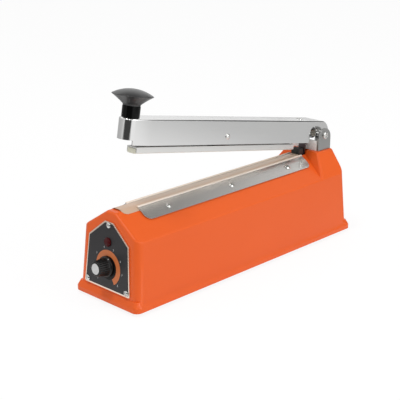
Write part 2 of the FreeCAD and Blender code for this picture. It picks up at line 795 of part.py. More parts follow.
def make_base():
    blank = block("base_blank", ("-wall_half + shell + base_gap", "middle - wall_end + shell + base_gap",
                                 "floor_z - base_sheet"),
                  ("2*wall_half - 2*shell - 2*base_gap", "2*wall_end - 2*shell - 2*base_gap", "base_sheet"))
    blank = rounded("base_corners", blank, "base_corner", standing)
    holes = [rod("base_hole_%d" % k, "foot_screw_radius + screw_fit", "10", (x, y, "0"))
             for k, (x, y) in enumerate(FEET)]
    holes += [rod("strap_hole_%d" % k, "strap_screw_radius + screw_fit", "10", ("0", y, "0"))
              for k, y in enumerate(STRAP_ENDS)]
    holes += [rod("bracket_hole_%d" % k, "strap_screw_radius + screw_fit", "10", ("switch_foot_x", y, "0"))
              for k, y in enumerate(SWITCH_FEET)]
    node("base_plate", cut("base_plate_cut", blank, *holes))

    foot = turned("foot_master", [
        ("foot_recess", "0"),
        ("foot_radius - foot_bevel", "0"),
        ("foot_radius", "foot_bevel"),
        ("foot_radius - foot_bevel/2", "floor_z - base_sheet"),
        ("foot_screw_radius + screw_fit", "floor_z - base_sheet"),
        ("foot_screw_radius + screw_fit", "foot_seat"),
        ("foot_recess", "foot_seat"),
    ])
    copies("rubber_feet", foot, [spot(x, y, "0") for x, y in FEET])
    pin = screw("base_screw_master", "foot_screw_radius", "floor_z - foot_seat + boss_height - 6",
                "foot_recess - 0.4", "foot_seat - 0.4")
    upside_down = FreeCAD.Rotation(X_AXIS, 180)
    copies("base_screws", pin, [spot(x, y, "foot_seat", upside_down) for x, y in FEET])


def make_transformer():
    low = "floor_z"
    core = block("core_stack_block", ("-core_stack/2", "core_y - core_length/2", low),
                 ("core_stack", "core_length", "core_height"))
    windows = [block("core_window_%d" % k, ("-core_stack", y, low + " + leg_width"),
                     ("2*core_stack", "leg_width", "core_height - 2*leg_width"))
               for k, y in enumerate(["core_y - 2*leg_width", "core_y + leg_width"])]
    node("transformer_core", cut("core_cut", core, *windows))

    def ring(name, start, height, wall, inner):
        """A rounded rectangular ring about the middle leg."""
        less, twice = " %s" % minus(wall), "%s + %s" % (wall, wall)
        outer = block(name + "_outer", ("-core_stack/2" + less, "core_y - leg_width" + less, start),
                      ("core_stack + " + twice, "2*leg_width + " + twice, height))
        outer = rounded(name + "_corners", outer, "coil_corner", standing)
        less, twice = " %s" % minus(inner), "%s + %s" % (inner, inner)
        hole = block(name + "_hole", ("-core_stack/2" + less, "core_y - leg_width" + less, "0"),
                     ("core_stack + " + twice, "2*leg_width + " + twice, "100"))
        return cut(name, outer, hole)

    tube = ring("bobbin_tube", low + " + leg_width + coil_gap", "core_height - 2*leg_width - 2*coil_gap",
                "bobbin_wall", "coil_gap/2")
    flange_starts = [low + " + leg_width + coil_gap", low + " + core_height/2 - bobbin_wall/2",
                     low + " + core_height - leg_width - coil_gap - bobbin_wall"]
    flanges = [ring("bobbin_flange_%d" % k, start, "bobbin_wall", "coil_depth", "coil_gap/2")
               for k, start in enumerate(flange_starts)]
    node("transformer_bobbin", join("bobbin_joined", tube, *flanges))
    winding = "core_height/2 - leg_width - coil_gap - 1.5*bobbin_wall - 2*winding_gap"
    for label, start in (("primary_winding", low + " + leg_width + coil_gap + bobbin_wall + winding_gap"),
                         ("secondary_winding", low + " + core_height/2 + bobbin_wall/2 + winding_gap")):
        node(label, ring(label + "_ring", start, winding, "coil_depth - winding_gap",
                         "bobbin_wall + winding_gap"))

    high = low + " + core_height"
    points = []
    for sign, walk in (("+", 1), ("-", -1)):
        inner = "core_y %s core_length/2 %s strap_gap" % (sign, sign)
        outer = "%s %s strap_sheet" % (inner, sign)
        toe = "core_y %s core_length/2 %s strap_foot" % (sign, sign)
        side = [
            (inner, high + " + strap_gap"),
            (inner, low),
            (toe, low),
            (toe, low + " + strap_sheet"),
            (outer, low + " + strap_sheet"),
            (outer, high + " + strap_gap + strap_sheet"),
        ]
        points += side if walk > 0 else side[::-1]
    strap = prism("strap_band", "YZ", points, "-strap_width/2", "strap_width")
    holes = [rod("strap_eye_%d" % k, "strap_screw_radius + screw_fit", "10", ("0", y, "floor_z - 4"))
             for k, y in enumerate(STRAP_ENDS)]
    node("transformer_strap", cut("strap_cut", strap, *holes))
    fixing = screw("strap_screw_master", "strap_screw_radius", "strap_sheet + base_sheet + strap_screw_end",
                   "strap_screw_head", "strap_screw_rise")
    copies("transformer_screws", fixing, [spot("0", y, "floor_z + strap_sheet") for y in STRAP_ENDS])


def make_bed():
    bed = block("bed_block", ("-bed_width/2", "middle - bed_front_reach", "bed_z - bed_height"),
                ("bed_width", "bed_front_reach + bed_rear_reach", "bed_height"))
    bed = rounded("bed_edges", bed, "bed_bevel", lambda e: e.BoundBox.ZMin > sizes["bed_z"] - 0.01
                  and e.BoundBox.YLength > 10, chamfer="bed_bevel")
    node("sealing_bed", bed)
    node("insulation_tape", block("tape", ("-tape_width/2", "middle - bed_front_reach", "bed_z"),
                                  ("tape_width", "bed_front_reach + bed_rear_reach", "tape_thick")))
    element = block("element", ("-element_width/2",
                                "middle - bed_front_reach - terminal_length + element_short",
                                "bed_z + tape_thick"),
                    ("element_width",
                     "bed_front_reach + bed_rear_reach + 2*terminal_length - 4*element_short",
                     "element_thick"))
    node("heating_element", element)
    terminal = block("terminal_block", ("-bed_width/2", "-terminal_length/2", "-terminal_height"),
                     ("bed_width", "terminal_length", "terminal_height"))
    sink = turned("terminal_sink", sunk_profile("0.05"))
    terminal = cut("terminal_master", terminal, sink)
    places = [spot("0", y, "bed_z") for y in ("middle - bed_front_reach - terminal_gap - terminal_length/2",
                                              "middle + bed_rear_reach + terminal_gap + terminal_length/2")]
    copies("element_terminals", terminal, places)
    copies("terminal_screws", turned("terminal_screw_master", sunk_profile("0")), places)
    cover = block("cover_block", ("-terminal_cover_width/2", "middle + cloth_rear_reach + seat_gap",
                                  "bed_z + terminal_gap/2"),
                  ("terminal_cover_width", "terminal_cover_length", "terminal_cover_height"))
    cover = rounded("cover_edges", cover, "0.8", lambda e: e.BoundBox.ZMax > sizes["bed_z"] + 1)
    node("terminal_cover", cover)

    # the cloth lies over the bed and goes down both flanks, under the cover strips
    def across(lift):
        edge = sizes["bed_width"] / 2
        return [
            (0.0, sizes["tape_thick"] + sizes["element_thick"] + lift),
            (sizes["tape_width"] / 2 + lift / 2, sizes["tape_thick"] + sizes["element_thick"] + lift),
            (edge + lift / 2, 0.05 + lift),
        ], [flank(s, sizes["cloth_lift"] + lift) for s in (0.0, sizes["cloth_drop"])]

    rows = []
    for lift in (0.0, sizes["cloth_thick"]):
        top, side = across(lift)
        rows.append([(x, z + sizes["bed_z"]) for x, z in top[1:] + side])
    outer, inner = rows[1], rows[0]
    loop = outer + inner[::-1] + [(-x, z) for x, z in inner] + [(-x, z) for x, z in outer[::-1]]
    cloth = prism("cloth_band", "XZ", [(repr(x), repr(z)) for x, z in loop],
                  "middle - cloth_front_reach", "cloth_front_reach + cloth_rear_reach")
    node("ptfe_cloth", cloth)

    strip = prism("strip_band", "XZ", [
        ("strip_start", "strip_seat"),
        ("strip_start + strip_width", "strip_seat"),
        ("strip_start + strip_width", "strip_seat + strip_thick"),
        ("strip_start + strip_lip", "strip_seat + strip_thick"),
        ("strip_start + strip_lip - strip_thick/3", "strip_seat + strip_thick + strip_lip_rise"),
        ("strip_start", "strip_seat + strip_thick + strip_lip_rise"),
    ], "-strip_length/2", "strip_length")
    far = value("strip_start + strip_width") - 0.01
    strip = rounded("strip_corners", strip, "strip_corner",
                    lambda e: e.BoundBox.XMin > far and e.BoundBox.YLength < 1)
    holes = [rod("strip_eye_%d" % k, "strip_screw_radius + screw_fit", "10", ("strip_screw_drop", y, "-2"))
             for k, y in enumerate(["-strip_screw_pitch", "0", "strip_screw_pitch"])]
    strip = cut("strip_cut", strip, *holes)
    place(strip, "ridge_width/2", "middle - strip_middle", "ridge_z", axis=Y_AXIS, angle="flank_angle")
    node("cover_strip_right", strip)
    left = doc.addObject("Part::Mirroring", "strip_mirror")
    left.Source = strip
    left.Normal = X_AXIS
    node("cover_strip_left", left)
    head = screw("strip_screw_master", "strip_screw_radius", "strip_screw_length", "strip_screw_head",
                 "strip_screw_rise")
    head = slotted("strip_screw_slotted", head, "strip_screw_head", "strip_screw_rise")
    places = [flank_spot(side, step, "strip_seat + strip_thick")
              for side in (1, -1) for step in ("- strip_screw_pitch", "", "+ strip_screw_pitch")]
    copies("strip_screws", head, places)


def make_hinge():
    half = "bracket_width/2"
    parts = [block("bracket_base", ("-" + half, "pivot_y - ear_round", "hump_z"),
                   ("bracket_width", "2*ear_round", "bracket_sheet"))]
    parts.append(block("bracket_web", ("-" + half, "pivot_y - ear_round", "hump_z"),
                       ("bracket_width", "bracket_sheet", "web_height")))
    for side, x in (("left", "-" + half), ("right", half + " - bracket_sheet")):
        parts.append(block("ear_foot_" + side, (x, "pivot_y - ear_round", "hump_z"),
                           ("bracket_sheet", "2*ear_round", "pivot_z - ear_drop - hump_z")))
        parts.append(rod("ear_top_" + side, "ear_round", "bracket_sheet",
                         (x, "pivot_y", "pivot_z - ear_drop"), "X"))
    bracket = join("bracket_body", *parts)
    holes = [rod("bracket_pin_hole", "pin_radius + pin_fit", "bracket_width + 2",
                 ("-bracket_width/2 - 1", "pivot_y", "pivot_z"), "X")]
    holes += [rod("bracket_eye_%d" % k, "hinge_screw_radius + screw_fit", "10", (x, y, "hump_z - 1"))
              for k, (x, y) in enumerate(HINGE_SCREWS)]
    node("hinge_bracket", cut("bracket_cut", bracket, *holes))
    fixing = screw("hinge_screw_master", "hinge_screw_radius", "hinge_screw_length", "hinge_screw_head",
                   "hinge_screw_rise")
    copies("bracket_screws", fixing, [spot(x, y, "hump_z + bracket_sheet") for x, y in HINGE_SCREWS])

    shank = rod("pin_shank", "pin_radius", "bracket_width + pin_nut + pin_end",
                ("-bracket_width/2 - pin_nut - pin_end", "0", "0"), "X")
    head = turned("pin_head", [("0", "0"), ("pin_head_radius", "0"), ("pin_head_radius", "1.6"),
                               ("pin_head_radius - 0.8", "pin_head_rise"), ("1.5", "pin_head_rise"),
                               ("1.2", "1"), ("0", "1")])
    place(head, "bracket_width/2", turn=ALONG["X"])
    pin = join("pin_body", shank, head)
    node("pivot_pin", place(pin, "0", "pivot_y", "pivot_z"))
    node("pivot_nut", place(hexagon("pivot_nut_body", "pin_nut_radius", "pin_nut", "pin_radius + 0.02"),
                            "-bracket_width/2 - pin_nut", "pivot_y", "pivot_z", turn=ALONG["X"]))
    gap = "bracket_width/2 - bracket_sheet - arm_width/2 - spacer_play"
    washer = turned("spacer_master", [("pin_radius + pin_fit", "0"), ("spacer_radius", "0"),
                                      ("spacer_radius", gap), ("pin_radius + pin_fit", gap)])
    copies("pivot_spacers", washer, [
        spot("arm_width/2 + spacer_play", "pivot_y", "pivot_z", ALONG["X"]),
        spot("-arm_width/2 - spacer_play", "pivot_y", "pivot_z", FreeCAD.Rotation(Y_AXIS, -90))])
    sleeve = turned("sleeve_body", [("pin_radius + pin_fit", "-arm_width/2 + arm_sheet + spacer_play"),
                                    ("sleeve_radius", "-arm_width/2 + arm_sheet + spacer_play"),
                                    ("sleeve_radius", "arm_width/2 - arm_sheet - spacer_play"),
                                    ("pin_radius + pin_fit", "arm_width/2 - arm_sheet - spacer_play")])
    node("spring_sleeve", place(sleeve, "0", "pivot_y", "pivot_z", turn=ALONG["X"]))


def neck_point(half, radius):
    """Where the arm's tapering side meets its round nose."""
    along = sizes["nose_reach"] - sizes["neck_start"]
    reach = math.hypot(half, along)
    turn = math.atan2(along, half) - math.acos(radius / reach)
    return radius * math.cos(turn), -sizes["nose_reach"] + radius * math.sin(turn)


def arm_plan(name, inset, low, high):
    """The arm seen from above, pushed up from low to high, smaller all round by inset."""
    half = "arm_width/2 - " + inset
    x, y = neck_point(value(half), value("nose_radius - " + inset))
    points = [
        (half, "arm_top + 2"),
        (half, "-neck_start"),
        (repr(x), repr(y)),
        (repr(-x), repr(y), "nose_radius - " + inset, 1),
        ("-arm_width/2 + " + inset, "-neck_start"),
        ("-arm_width/2 + " + inset, "arm_top + 2"),
    ]
    return prism(name, "XY", points, low, high)


def make_arm():
    outer = arm_plan("arm_outer", "0", "-arm_bottom", "arm_bottom + arm_top")
    rear = sizes["arm_top"] + 1.9
    outer = rounded("arm_bends", outer, "arm_bend",
                    lambda e: e.BoundBox.ZMin > sizes["arm_top"] - 0.01 and e.BoundBox.YMin < rear)
    hollow = arm_plan("arm_hollow", "arm_sheet", "-arm_bottom - 1", "arm_bottom + 1 + arm_top - arm_sheet")
    tail = block("tail_block", ("-arm_width", "0", "-arm_width"),
                 ("2*arm_width", "2*arm_width", "2*arm_width"))
    tail = cut("tail_tool", tail, rod("tail_round", "arm_top", "2*arm_width", ("-arm_width", "0", "0"), "X"))
    tools = [
        hollow,
        tail,
        block("notch_block", ("-arm_width", "-notch_front", "-arm_width"),
              ("2*arm_width", "notch_front - notch_rear", "arm_width + notch_top")),
        rod("notch_arch", "notch_front/2 - notch_rear/2", "2*arm_width",
            ("-arm_width", "-notch_front/2 - notch_rear/2", "notch_top"), "X"),
        block("nose_underside", ("-arm_width", "-nose_cut_start - arm_width", "-arm_width"),
              ("2*arm_width", "arm_width", "arm_width - nose_bottom")),
        rod("arm_pin_hole", "pin_radius + pin_fit", "2*arm_width", ("-arm_width", "0", "0"), "X"),
        rod("arm_rocker_hole", "rocker_radius + 0.02", "2*arm_width",
            ("-arm_width", "-rocker_reach", "-rocker_drop"), "X"),
        rod("handle_hole", "handle_screw_radius + screw_fit", "10", ("0", "-nose_reach", "arm_top - 5")),
    ]
    tools += [rod("rivet_hole_%d" % k, "rivet_radius + 0.02", "10", (x, y, "arm_top - 5"))
              for k, (x, y) in enumerate(RIVETS)]
    node("arm_channel", on_arm(cut("arm_cut", outer, *tools)))

    knob = turned("knob_profile", [
        ("handle_screw_radius + screw_fit", "0"),
        ("stem_radius", "0"),
        ("stem_radius", "stem_height"),
        ("cap_radius", "stem_height + cap_rim", "cap_flare", 1),
        ("cap_radius", "stem_height + cap_rim + cap_edge"),
        ("0", "stem_height + cap_rim + cap_edge + cap_dome", "dome_radius", -1),
        ("0", "stem_height"),
        ("handle_screw_radius + screw_fit", "stem_height"),
    ])
    knob = rounded("knob_rim", knob, "cap_edge/2.2", lambda e: e.BoundBox.XMax > sizes["cap_radius"] - 0.01
                   and e.BoundBox.ZMin > sizes["stem_height"] + 1 and e.BoundBox.ZLength < 0.1)
    at_knob = arm_frame().multiply(spot("0", "-nose_reach", "arm_top"))
    put(knob, at_knob)
    node("handle_knob", knob)
    under = "-arm_sheet - handle_washer_thick"
    washer = turned("handle_washer_body", [
        ("handle_screw_radius + screw_fit", under), ("handle_washer_radius", under),
        ("handle_washer_radius", "-arm_sheet"), ("handle_screw_radius + screw_fit", "-arm_sheet")])
    put(washer, at_knob)
    node("handle_washer", washer)
    fixing = screw("handle_screw_body", "handle_screw_radius", "arm_sheet + stem_height",
                   "handle_screw_head", "handle_screw_rise")
    put(fixing, at_knob.multiply(spot("0", "0", under, FreeCAD.Rotation(X_AXIS, 180))))
    node("handle_screw", fixing)

    tongue = prism("striker_side", "YZ", [
        ("-striker_reach", "arm_top - arm_sheet"),
        ("-striker_reach", "-striker_tip"),
        ("-striker_reach - striker_thick", "-striker_tip"),
        ("-striker_reach - striker_thick", "arm_top - arm_sheet - striker_thick"),
        ("-striker_reach - striker_flange", "arm_top - arm_sheet - striker_thick"),
        ("-striker_reach - striker_flange", "arm_top - arm_sheet"),
    ], "-striker_width/2", "striker_width")
    tongue = rounded("striker_tip_corners", tongue, "2",
                     lambda e: e.BoundBox.ZMax < 0.1 - sizes["striker_tip"] and e.BoundBox.YLength > 1)
    holes = [rod("striker_eye_%d" % k, "rivet_radius + 0.02", "10", (x, y, "arm_top - 6"))
             for k, (x, y) in enumerate(RIVETS)]
    node("striker", on_arm(cut("striker_cut", tongue, *holes)))
    seat = "-arm_sheet - striker_thick"
    rivet = turned("rivet_master", [
        ("0", seat + " - rivet_tail"), ("rivet_radius + rivet_lip", seat + " - rivet_tail"),
        ("rivet_radius + rivet_lip", seat), ("rivet_radius", seat),
        ("rivet_radius", "0"), ("rivet_radius + rivet_lip", "0"),
        ("rivet_radius + rivet_lip/2", "0.6"), ("0", "0.8")])
    copies("striker_rivets", rivet, [arm_frame().multiply(spot(x, y, "arm_top")) for x, y in RIVETS])

    end = "spring_turns*wire"
    coil = [("spring_radius - wire", "-" + end), ("spring_radius", "-" + end)]
    coil += [("spring_radius", "%d*wire - %s" % (2 * k + 2, end), "wire*1.06", -1)
             for k in range(int(sizes["spring_turns"]))]
    coil.append(("spring_radius - wire", end))
    coil = place(turned("spring_coil", coil), turn=ALONG["X"])
    reach, lift = sizes["spring_leg"], value("arm_top - arm_sheet - wire")
    span = math.hypot(reach, lift)
    angle = math.degrees(math.atan2(lift, reach) - math.asin(sizes["spring_radius"] / span))
    leg = rod("spring_leg_up", "wire", repr(math.sqrt(span ** 2 - sizes["spring_radius"] ** 2)),
              ("0", "0", "0"))
    turn = FreeCAD.Rotation(X_AXIS, 90 - angle)
    start = turn.multVec(V(0, sizes["spring_radius"] - sizes["wire"], 0))
    put(leg, FreeCAD.Placement(start + V(value("spring_turns*wire - wire"), 0, 0), turn))
    down = rod("spring_leg_down", "wire", "spring_drop",
               ("-spring_turns*wire + wire", "-spring_radius", "-spring_drop"))
    node("return_spring", on_arm(join("spring_body", coil, leg, down)))


def make_bar():
    bottom = "-rubber_bottom + rubber_rise"
    groove = bottom + " + bar_height - bar_wall"
    half, inner = "bar_width/2", "rubber_width/2 + rubber_fit"
    points = [
        (half, bottom), (half, bottom + " + bar_height"),
        ("-" + half, bottom + " + bar_height"), ("-" + half, bottom),
        ("-rubber_width/2 - rubber_fit", bottom), ("-rubber_width/2 - rubber_fit", groove),
        (inner, groove), (inner, bottom),
    ]
    holder = prism("bar_profile", "XZ", points, "-bar_front", "bar_front - bar_rear")
    node("pressure_bar", on_arm(holder))
    rubber = prism("rubber_profile", "XZ", [
        ("rubber_width/2", "-rubber_bottom + 0.4"), ("rubber_width/2", groove),
        ("-rubber_width/2", groove), ("-rubber_width/2", "-rubber_bottom + 0.4"),
        ("-rubber_width/2 + 0.8", "-rubber_bottom"), ("rubber_width/2 - 0.8", "-rubber_bottom"),
    ], "-bar_front - rubber_overhang", "bar_front - bar_rear + rubber_overhang")
    node("silicone_strip", on_arm(rubber))
    top = bottom + " + bar_height"
    foot = block("lug_foot", ("-lug_width/2", "-rocker_reach - lug_length/2", top),
                 ("lug_width", "lug_length", "lug_foot"))
    stem = block("lug_stem", ("-lug_width/2", "-rocker_reach - lug_rise", top),
                 ("lug_width", "2*lug_rise", "rubber_bottom - rubber_rise - bar_height - rocker_drop"))
    eye = rod("lug_eye", "lug_rise", "lug_width", ("-lug_width/2", "-rocker_reach", "-rocker_drop"), "X")
    hole = rod("lug_bore", "rocker_radius + pin_fit", "2*lug_width",
               ("-lug_width", "-rocker_reach", "-rocker_drop"), "X")
    node("rocker_lug", on_arm(cut("lug_cut", join("lug_body", foot, stem, eye), hole)))

    shank = rod("rocker_shank", "rocker_radius", "arm_width + rocker_nut + rocker_end",
                ("-arm_width/2 - rocker_nut - rocker_end", "0", "0"), "X")
    head = turned("rocker_head", [("0", "0"), ("rocker_head_radius", "0"), ("rocker_head_radius", "0.5"),
                                  ("0", "1.6", repr(head_dome("rocker_head_radius", "1.1")), -1)])
    place(head, "arm_width/2", turn=ALONG["X"])
    pin = join("rocker_body", shank, head)
    put(pin, arm_frame().multiply(spot("0", "-rocker_reach", "-rocker_drop")))
    node("rocker_screw", pin)
    nut = hexagon("rocker_nut_body", "rocker_nut_radius", "rocker_nut", "rocker_radius + 0.02")
    put(nut, arm_frame().multiply(
        spot("-arm_width/2 - rocker_nut", "-rocker_reach", "-rocker_drop", ALONG["X"])))
    node("rocker_nut", nut)
    gap = "arm_width/2 - arm_sheet - lug_width/2 - spacer_play"
    spacer = turned("rocker_spacer_master", [
        ("rocker_radius + 0.02", "0"), ("rocker_spacer_radius", "0"),
        ("rocker_spacer_radius", gap), ("rocker_radius + 0.02", gap)])
    copies("rocker_spacers", spacer, [
        arm_frame().multiply(spot("lug_width/2 + spacer_play", "-rocker_reach", "-rocker_drop", ALONG["X"])),
        arm_frame().multiply(spot("-arm_width/2 + arm_sheet", "-rocker_reach", "-rocker_drop", ALONG["X"]))])


def make_panel():
    shape = [("panel_low_half", "panel_low"), ("panel_mid_half", "panel_mid"),
             ("panel_top_half", "panel_top"), ("-panel_top_half", "panel_top"),
             ("-panel_mid_half", "panel_mid"), ("-panel_low_half", "panel_low")]
    plate = prism("panel_blank", "XY", shape, "0", "panel_thick")
    plate = rounded("panel_corners", plate, "panel_corner", standing)
    film_edge = doc.addObject("Part::Offset2D", "overlay_edge")
    film_edge.Source = doc.getObject("panel_blank_outline")
    bind(film_edge, Value="-panel_border")
    film = doc.addObject("Part::Extrusion", "overlay_blank")
    film.Base = film_edge
    film.DirMode = "Custom"
    film.Dir = Z_AXIS
    film.Solid = True
    bind(film, LengthFwd="overlay_thick")
    place(film, z="panel_thick")
    film = rounded("overlay_corners", film, "panel_corner - 0.3", standing)
    eyes = [rod("panel_eye_%d" % k, "panel_screw_radius + screw_fit", "10", (x, y, "-5"))
            for k, (x, y) in enumerate(PANEL_SCREWS)]
    eyes.append(rod("panel_lamp_eye", "lamp_radius + screw_fit", "10", ("0", "lamp_up", "-5")))
    eyes.append(rod("panel_dial_eye", "bushing_radius + screw_fit", "10", ("0", "dial_up", "-5")))
    eyes = join("panel_eyes", *eyes)
    node("front_panel", on_panel(cut("panel_cut", plate, eyes)))
    node("panel_overlay", on_panel(cut("overlay_cut", film, eyes)))
    fixing = screw("panel_screw_master", "panel_screw_radius", "panel_screw_length", "panel_screw_head",
                   "panel_screw_rise")
    fixing = slotted("panel_screw_slotted", fixing, "panel_screw_head", "panel_screw_rise")
    turns = [FreeCAD.Rotation(Z_AXIS, a) for a in (20, 75, -35)]
    copies("panel_screws", fixing, [panel_frame().multiply(spot(x, y, "panel_skin", t))
                                    for (x, y), t in zip(PANEL_SCREWS, turns)])

    dome = repr(head_dome("lamp_radius", "lamp_rise/2"))
    lens = turned("lens_profile", [
        ("0", "-lamp_sunk"), ("lamp_radius", "-lamp_sunk"), ("lamp_radius", "panel_skin + lamp_rise/2"),
        ("0", "panel_skin + lamp_rise", dome, -1)])
    put(lens, panel_frame().multiply(spot("0", "lamp_up", "0")))
    node("indicator_lens", lens)
    holder = turned("lamp_holder_profile", [
        ("lamp_radius + 0.05", "-lamp_sunk"), ("lamp_radius + 0.05", "0"),
        ("lamp_radius + lamp_wall", "0"), ("lamp_radius + lamp_wall", "3 - lamp_depth"),
        ("1.6", "-lamp_depth"), ("0", "-lamp_depth"), ("0", "-lamp_sunk")])
    put(holder, panel_frame().multiply(spot("0", "lamp_up", "0")))
    node("lamp_holder", holder)

    timer = turned("timer_profile", [
        ("0", "-timer_depth"), ("timer_radius", "-timer_depth"), ("timer_radius", "-1"),
        ("timer_radius - 1", "0"),
        ("bushing_radius", "0"), ("bushing_radius", "panel_skin + bushing_rise"),
        ("shaft_radius + pin_fit", "panel_skin + bushing_rise"), ("shaft_radius + pin_fit", "-shaft_depth"),
        ("0", "-shaft_depth")])
    put(timer, panel_frame().multiply(spot("0", "dial_up", "0")))
    node("timer_body", timer)
    nut = hexagon("timer_nut_body", "timer_nut_radius", "timer_nut_height", "bushing_radius + 0.02")
    put(nut, panel_frame().multiply(spot("0", "dial_up", "panel_skin")))
    node("timer_nut", nut)
    base = "panel_skin + knob_gap"
    tip, sunk = base + " + knob_length", base + " + knob_length - cap_sink"
    shaft = turned("timer_shaft_body", [
        ("0", "seat_gap - shaft_depth"), ("shaft_radius", "seat_gap - shaft_depth"),
        ("shaft_radius", tip + " - shaft_short - 0.3"), ("shaft_radius - 0.4", tip + " - shaft_short"),
        ("0", tip + " - shaft_short")])
    put(shaft, panel_frame().multiply(spot("0", "dial_up", "0")))
    node("timer_shaft", shaft)
    knob = turned("timer_knob_profile", [
        ("knob_recess", base), ("knob_base_radius", base), ("knob_base_radius", base + " + knob_skirt"),
        ("knob_radius", base + " + knob_skirt + 0.6"), ("knob_radius - 0.5", tip + " - 0.8"),
        ("knob_radius - 1.1", tip), ("knob_cap_radius + 0.1", tip), ("knob_cap_radius + 0.1", sunk),
        ("0", sunk), ("0", tip + " - shaft_short + 0.1"),
        ("shaft_radius + 0.02", tip + " - shaft_short + 0.1"),
        ("shaft_radius + 0.02", base + " + knob_recess_depth"),
        ("knob_recess", base + " + knob_recess_depth")])
    flutes = []
    count = int(sizes["flute_count"])
    for k in range(count):
        flute = rod("flute_%d" % k, "flute_radius", "knob_length", ("0", "0", "0"))
        a = math.radians(360 * (k + 0.5) / count)
        r = sizes["knob_radius"] + sizes["flute_radius"] * 0.35
        place(flute, repr(r * math.cos(a)), repr(r * math.sin(a)), base + " + knob_skirt + 1.2")
        flutes.append(flute)
    knob = cut("timer_knob_cut", knob, *flutes)
    at_dial = panel_frame().multiply(spot("0", "dial_up", "0"))
    put(knob, at_dial)
    node("timer_knob", knob)
    cap = turned("knob_cap_profile", [
        ("0", sunk), ("knob_cap_radius", sunk), ("knob_cap_radius", tip + " - 0.1"),
        ("knob_cap_radius - 0.3", tip), ("0", tip)])
    put(cap, at_dial)
    node("timer_knob_cap", cap)

    board = block("board_blank", ("-board_width/2", "board_low", "-timer_depth - board_thick"),
                  ("board_width", "board_height", "board_thick"))
    pins = [rod("board_pin_%d" % k, "0.6", "board_thick + 2",
                (x, "dial_up - 8", "-timer_depth - board_thick - 1"))
            for k, x in enumerate(["-5", "0", "5"])]
    node("circuit_board", on_panel(cut("board_drilled", board, *pins)))
    back = "-timer_depth - board_thick"
    relay = block("relay_block", ("-17", "board_low + 3", back + " - 15"), ("19", "15", "15"))
    node("board_relay", on_panel(rounded("relay_edges", relay, "0.8", standing)))
    can = rod("capacitor_can", "5", "12", ("12", "board_low + 10", back + " - 12"))
    can = rounded("capacitor_edge", can, "0.6", lambda e: e.BoundBox.ZLength < 0.1)
    node("board_capacitor", on_panel(can))
    tab = block("triac_tab", ("-6", "board_low + 25", back + " - 1.6"), ("10", "9", "1.6"))
    slab = block("triac_slab", ("-6", "board_low + 25", back + " - 5"), ("10", "6", "3.6"))
    node("board_triac", on_panel(join("triac_body", tab, slab)))


def make_switch():
    top, front = "plunger_z - plunger_stand", "switch_y + switch_rear - switch_length"
    body = block("switch_block", ("-switch_width/2", front, top + " - switch_height"),
                 ("switch_width", "switch_length", "switch_height"))
    body = rounded("switch_corners", body, "1", lambda e: e.BoundBox.XLength > 5)
    bore = rod("switch_bore", "plunger_radius + pin_fit", "plunger_sunk + 1",
               ("0", "switch_y", top + " - plunger_sunk"))
    eyes = [rod("switch_eye_%d" % k, "switch_screw_radius + screw_fit", "4*switch_width",
                ("-2*switch_width", y, z), "X")
            for k, (y, z) in enumerate(SWITCH_EYES)]
    eyes = join("switch_eyes", *eyes)
    node("switch_body", cut("switch_cut", body, bore, eyes))
    pin = rod("plunger_body", "plunger_radius", "plunger_sunk - plunger_travel - seat_gap + plunger_stand",
              ("0", "switch_y", top + " - plunger_sunk + plunger_travel + seat_gap"))
    pin = rounded("plunger_tip", pin, "0.6", lambda e: e.BoundBox.ZMin > sizes["plunger_z"] - 0.01)
    node("switch_plunger", pin)
    inner, outer, toe = "switch_width/2", "switch_width/2 + strap_sheet", "switch_width/2 + switch_foot"
    plate = prism("bracket_bend", "XZ", [
        (inner, top), (inner, "floor_z"), (toe, "floor_z"), (toe, "floor_z + strap_sheet"),
        (outer, "floor_z + strap_sheet"), (outer, top)], front, "switch_length")
    feet = [rod("bracket_foot_eye_%d" % k, "strap_screw_radius + screw_fit", "10",
                ("switch_foot_x", y, "floor_z - 4"))
            for k, y in enumerate(SWITCH_FEET)]
    node("switch_bracket", cut("switch_bracket_cut", plate, eyes, *feet))
    fixing = screw("switch_screw_master", "switch_screw_radius",
                   "switch_width + strap_sheet + switch_screw_end", "switch_screw_head", "switch_screw_rise")
    copies("switch_screws", fixing, [spot(outer, y, z, ALONG["X"]) for y, z in SWITCH_EYES])
    fixing = screw("switch_foot_screw_master", "strap_screw_radius",
                   "strap_sheet + base_sheet + strap_screw_end", "switch_screw_head", "switch_screw_rise")
    copies("switch_bracket_screws", fixing,
           [spot("switch_foot_x", y, "floor_z + strap_sheet") for y in SWITCH_FEET])


def make_gland():
    ring = turned("gland_profile", [
        ("gland_bore", "-shell - gland_flange"), ("gland_radius - 0.6", "-shell - gland_flange"),
        ("gland_radius - 0.2", "-shell - 0.1"),
        ("gland_radius - 1.6", "-shell - 0.1"), ("gland_radius - 1.6", "0"), ("gland_radius", "0"),
        ("gland_radius - 0.8", "gland_flange"), ("gland_bore", "gland_flange")])
    node("cord_grommet", on_rear(ring, "0"))


make_housing()
make_base()
make_transformer()
make_bed()
make_hinge()
make_arm()
make_bar()
make_panel()
make_switch()
make_gland()
doc.recompute()
for item in doc.Objects:
    if "Invalid" in item.State or "Error" in item.State:
        raise RuntimeError("%s failed: %s" % (item.Name, item.State))
os.makedirs("parts", exist_ok=True)
for label, item in nodes.items():
    shape = item.Shape
    if shape.isNull() or not shape.isValid() or not shape.Solids:
        raise RuntimeError("%s has no sound solid" % label)
    shape.exportStep("parts/%s.step" % label)
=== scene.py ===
import json
from math import atan2, cos, hypot, pi, radians, sin, sqrt

import bmesh
import bpy
import numpy as np
from mathutils import Matrix, Vector

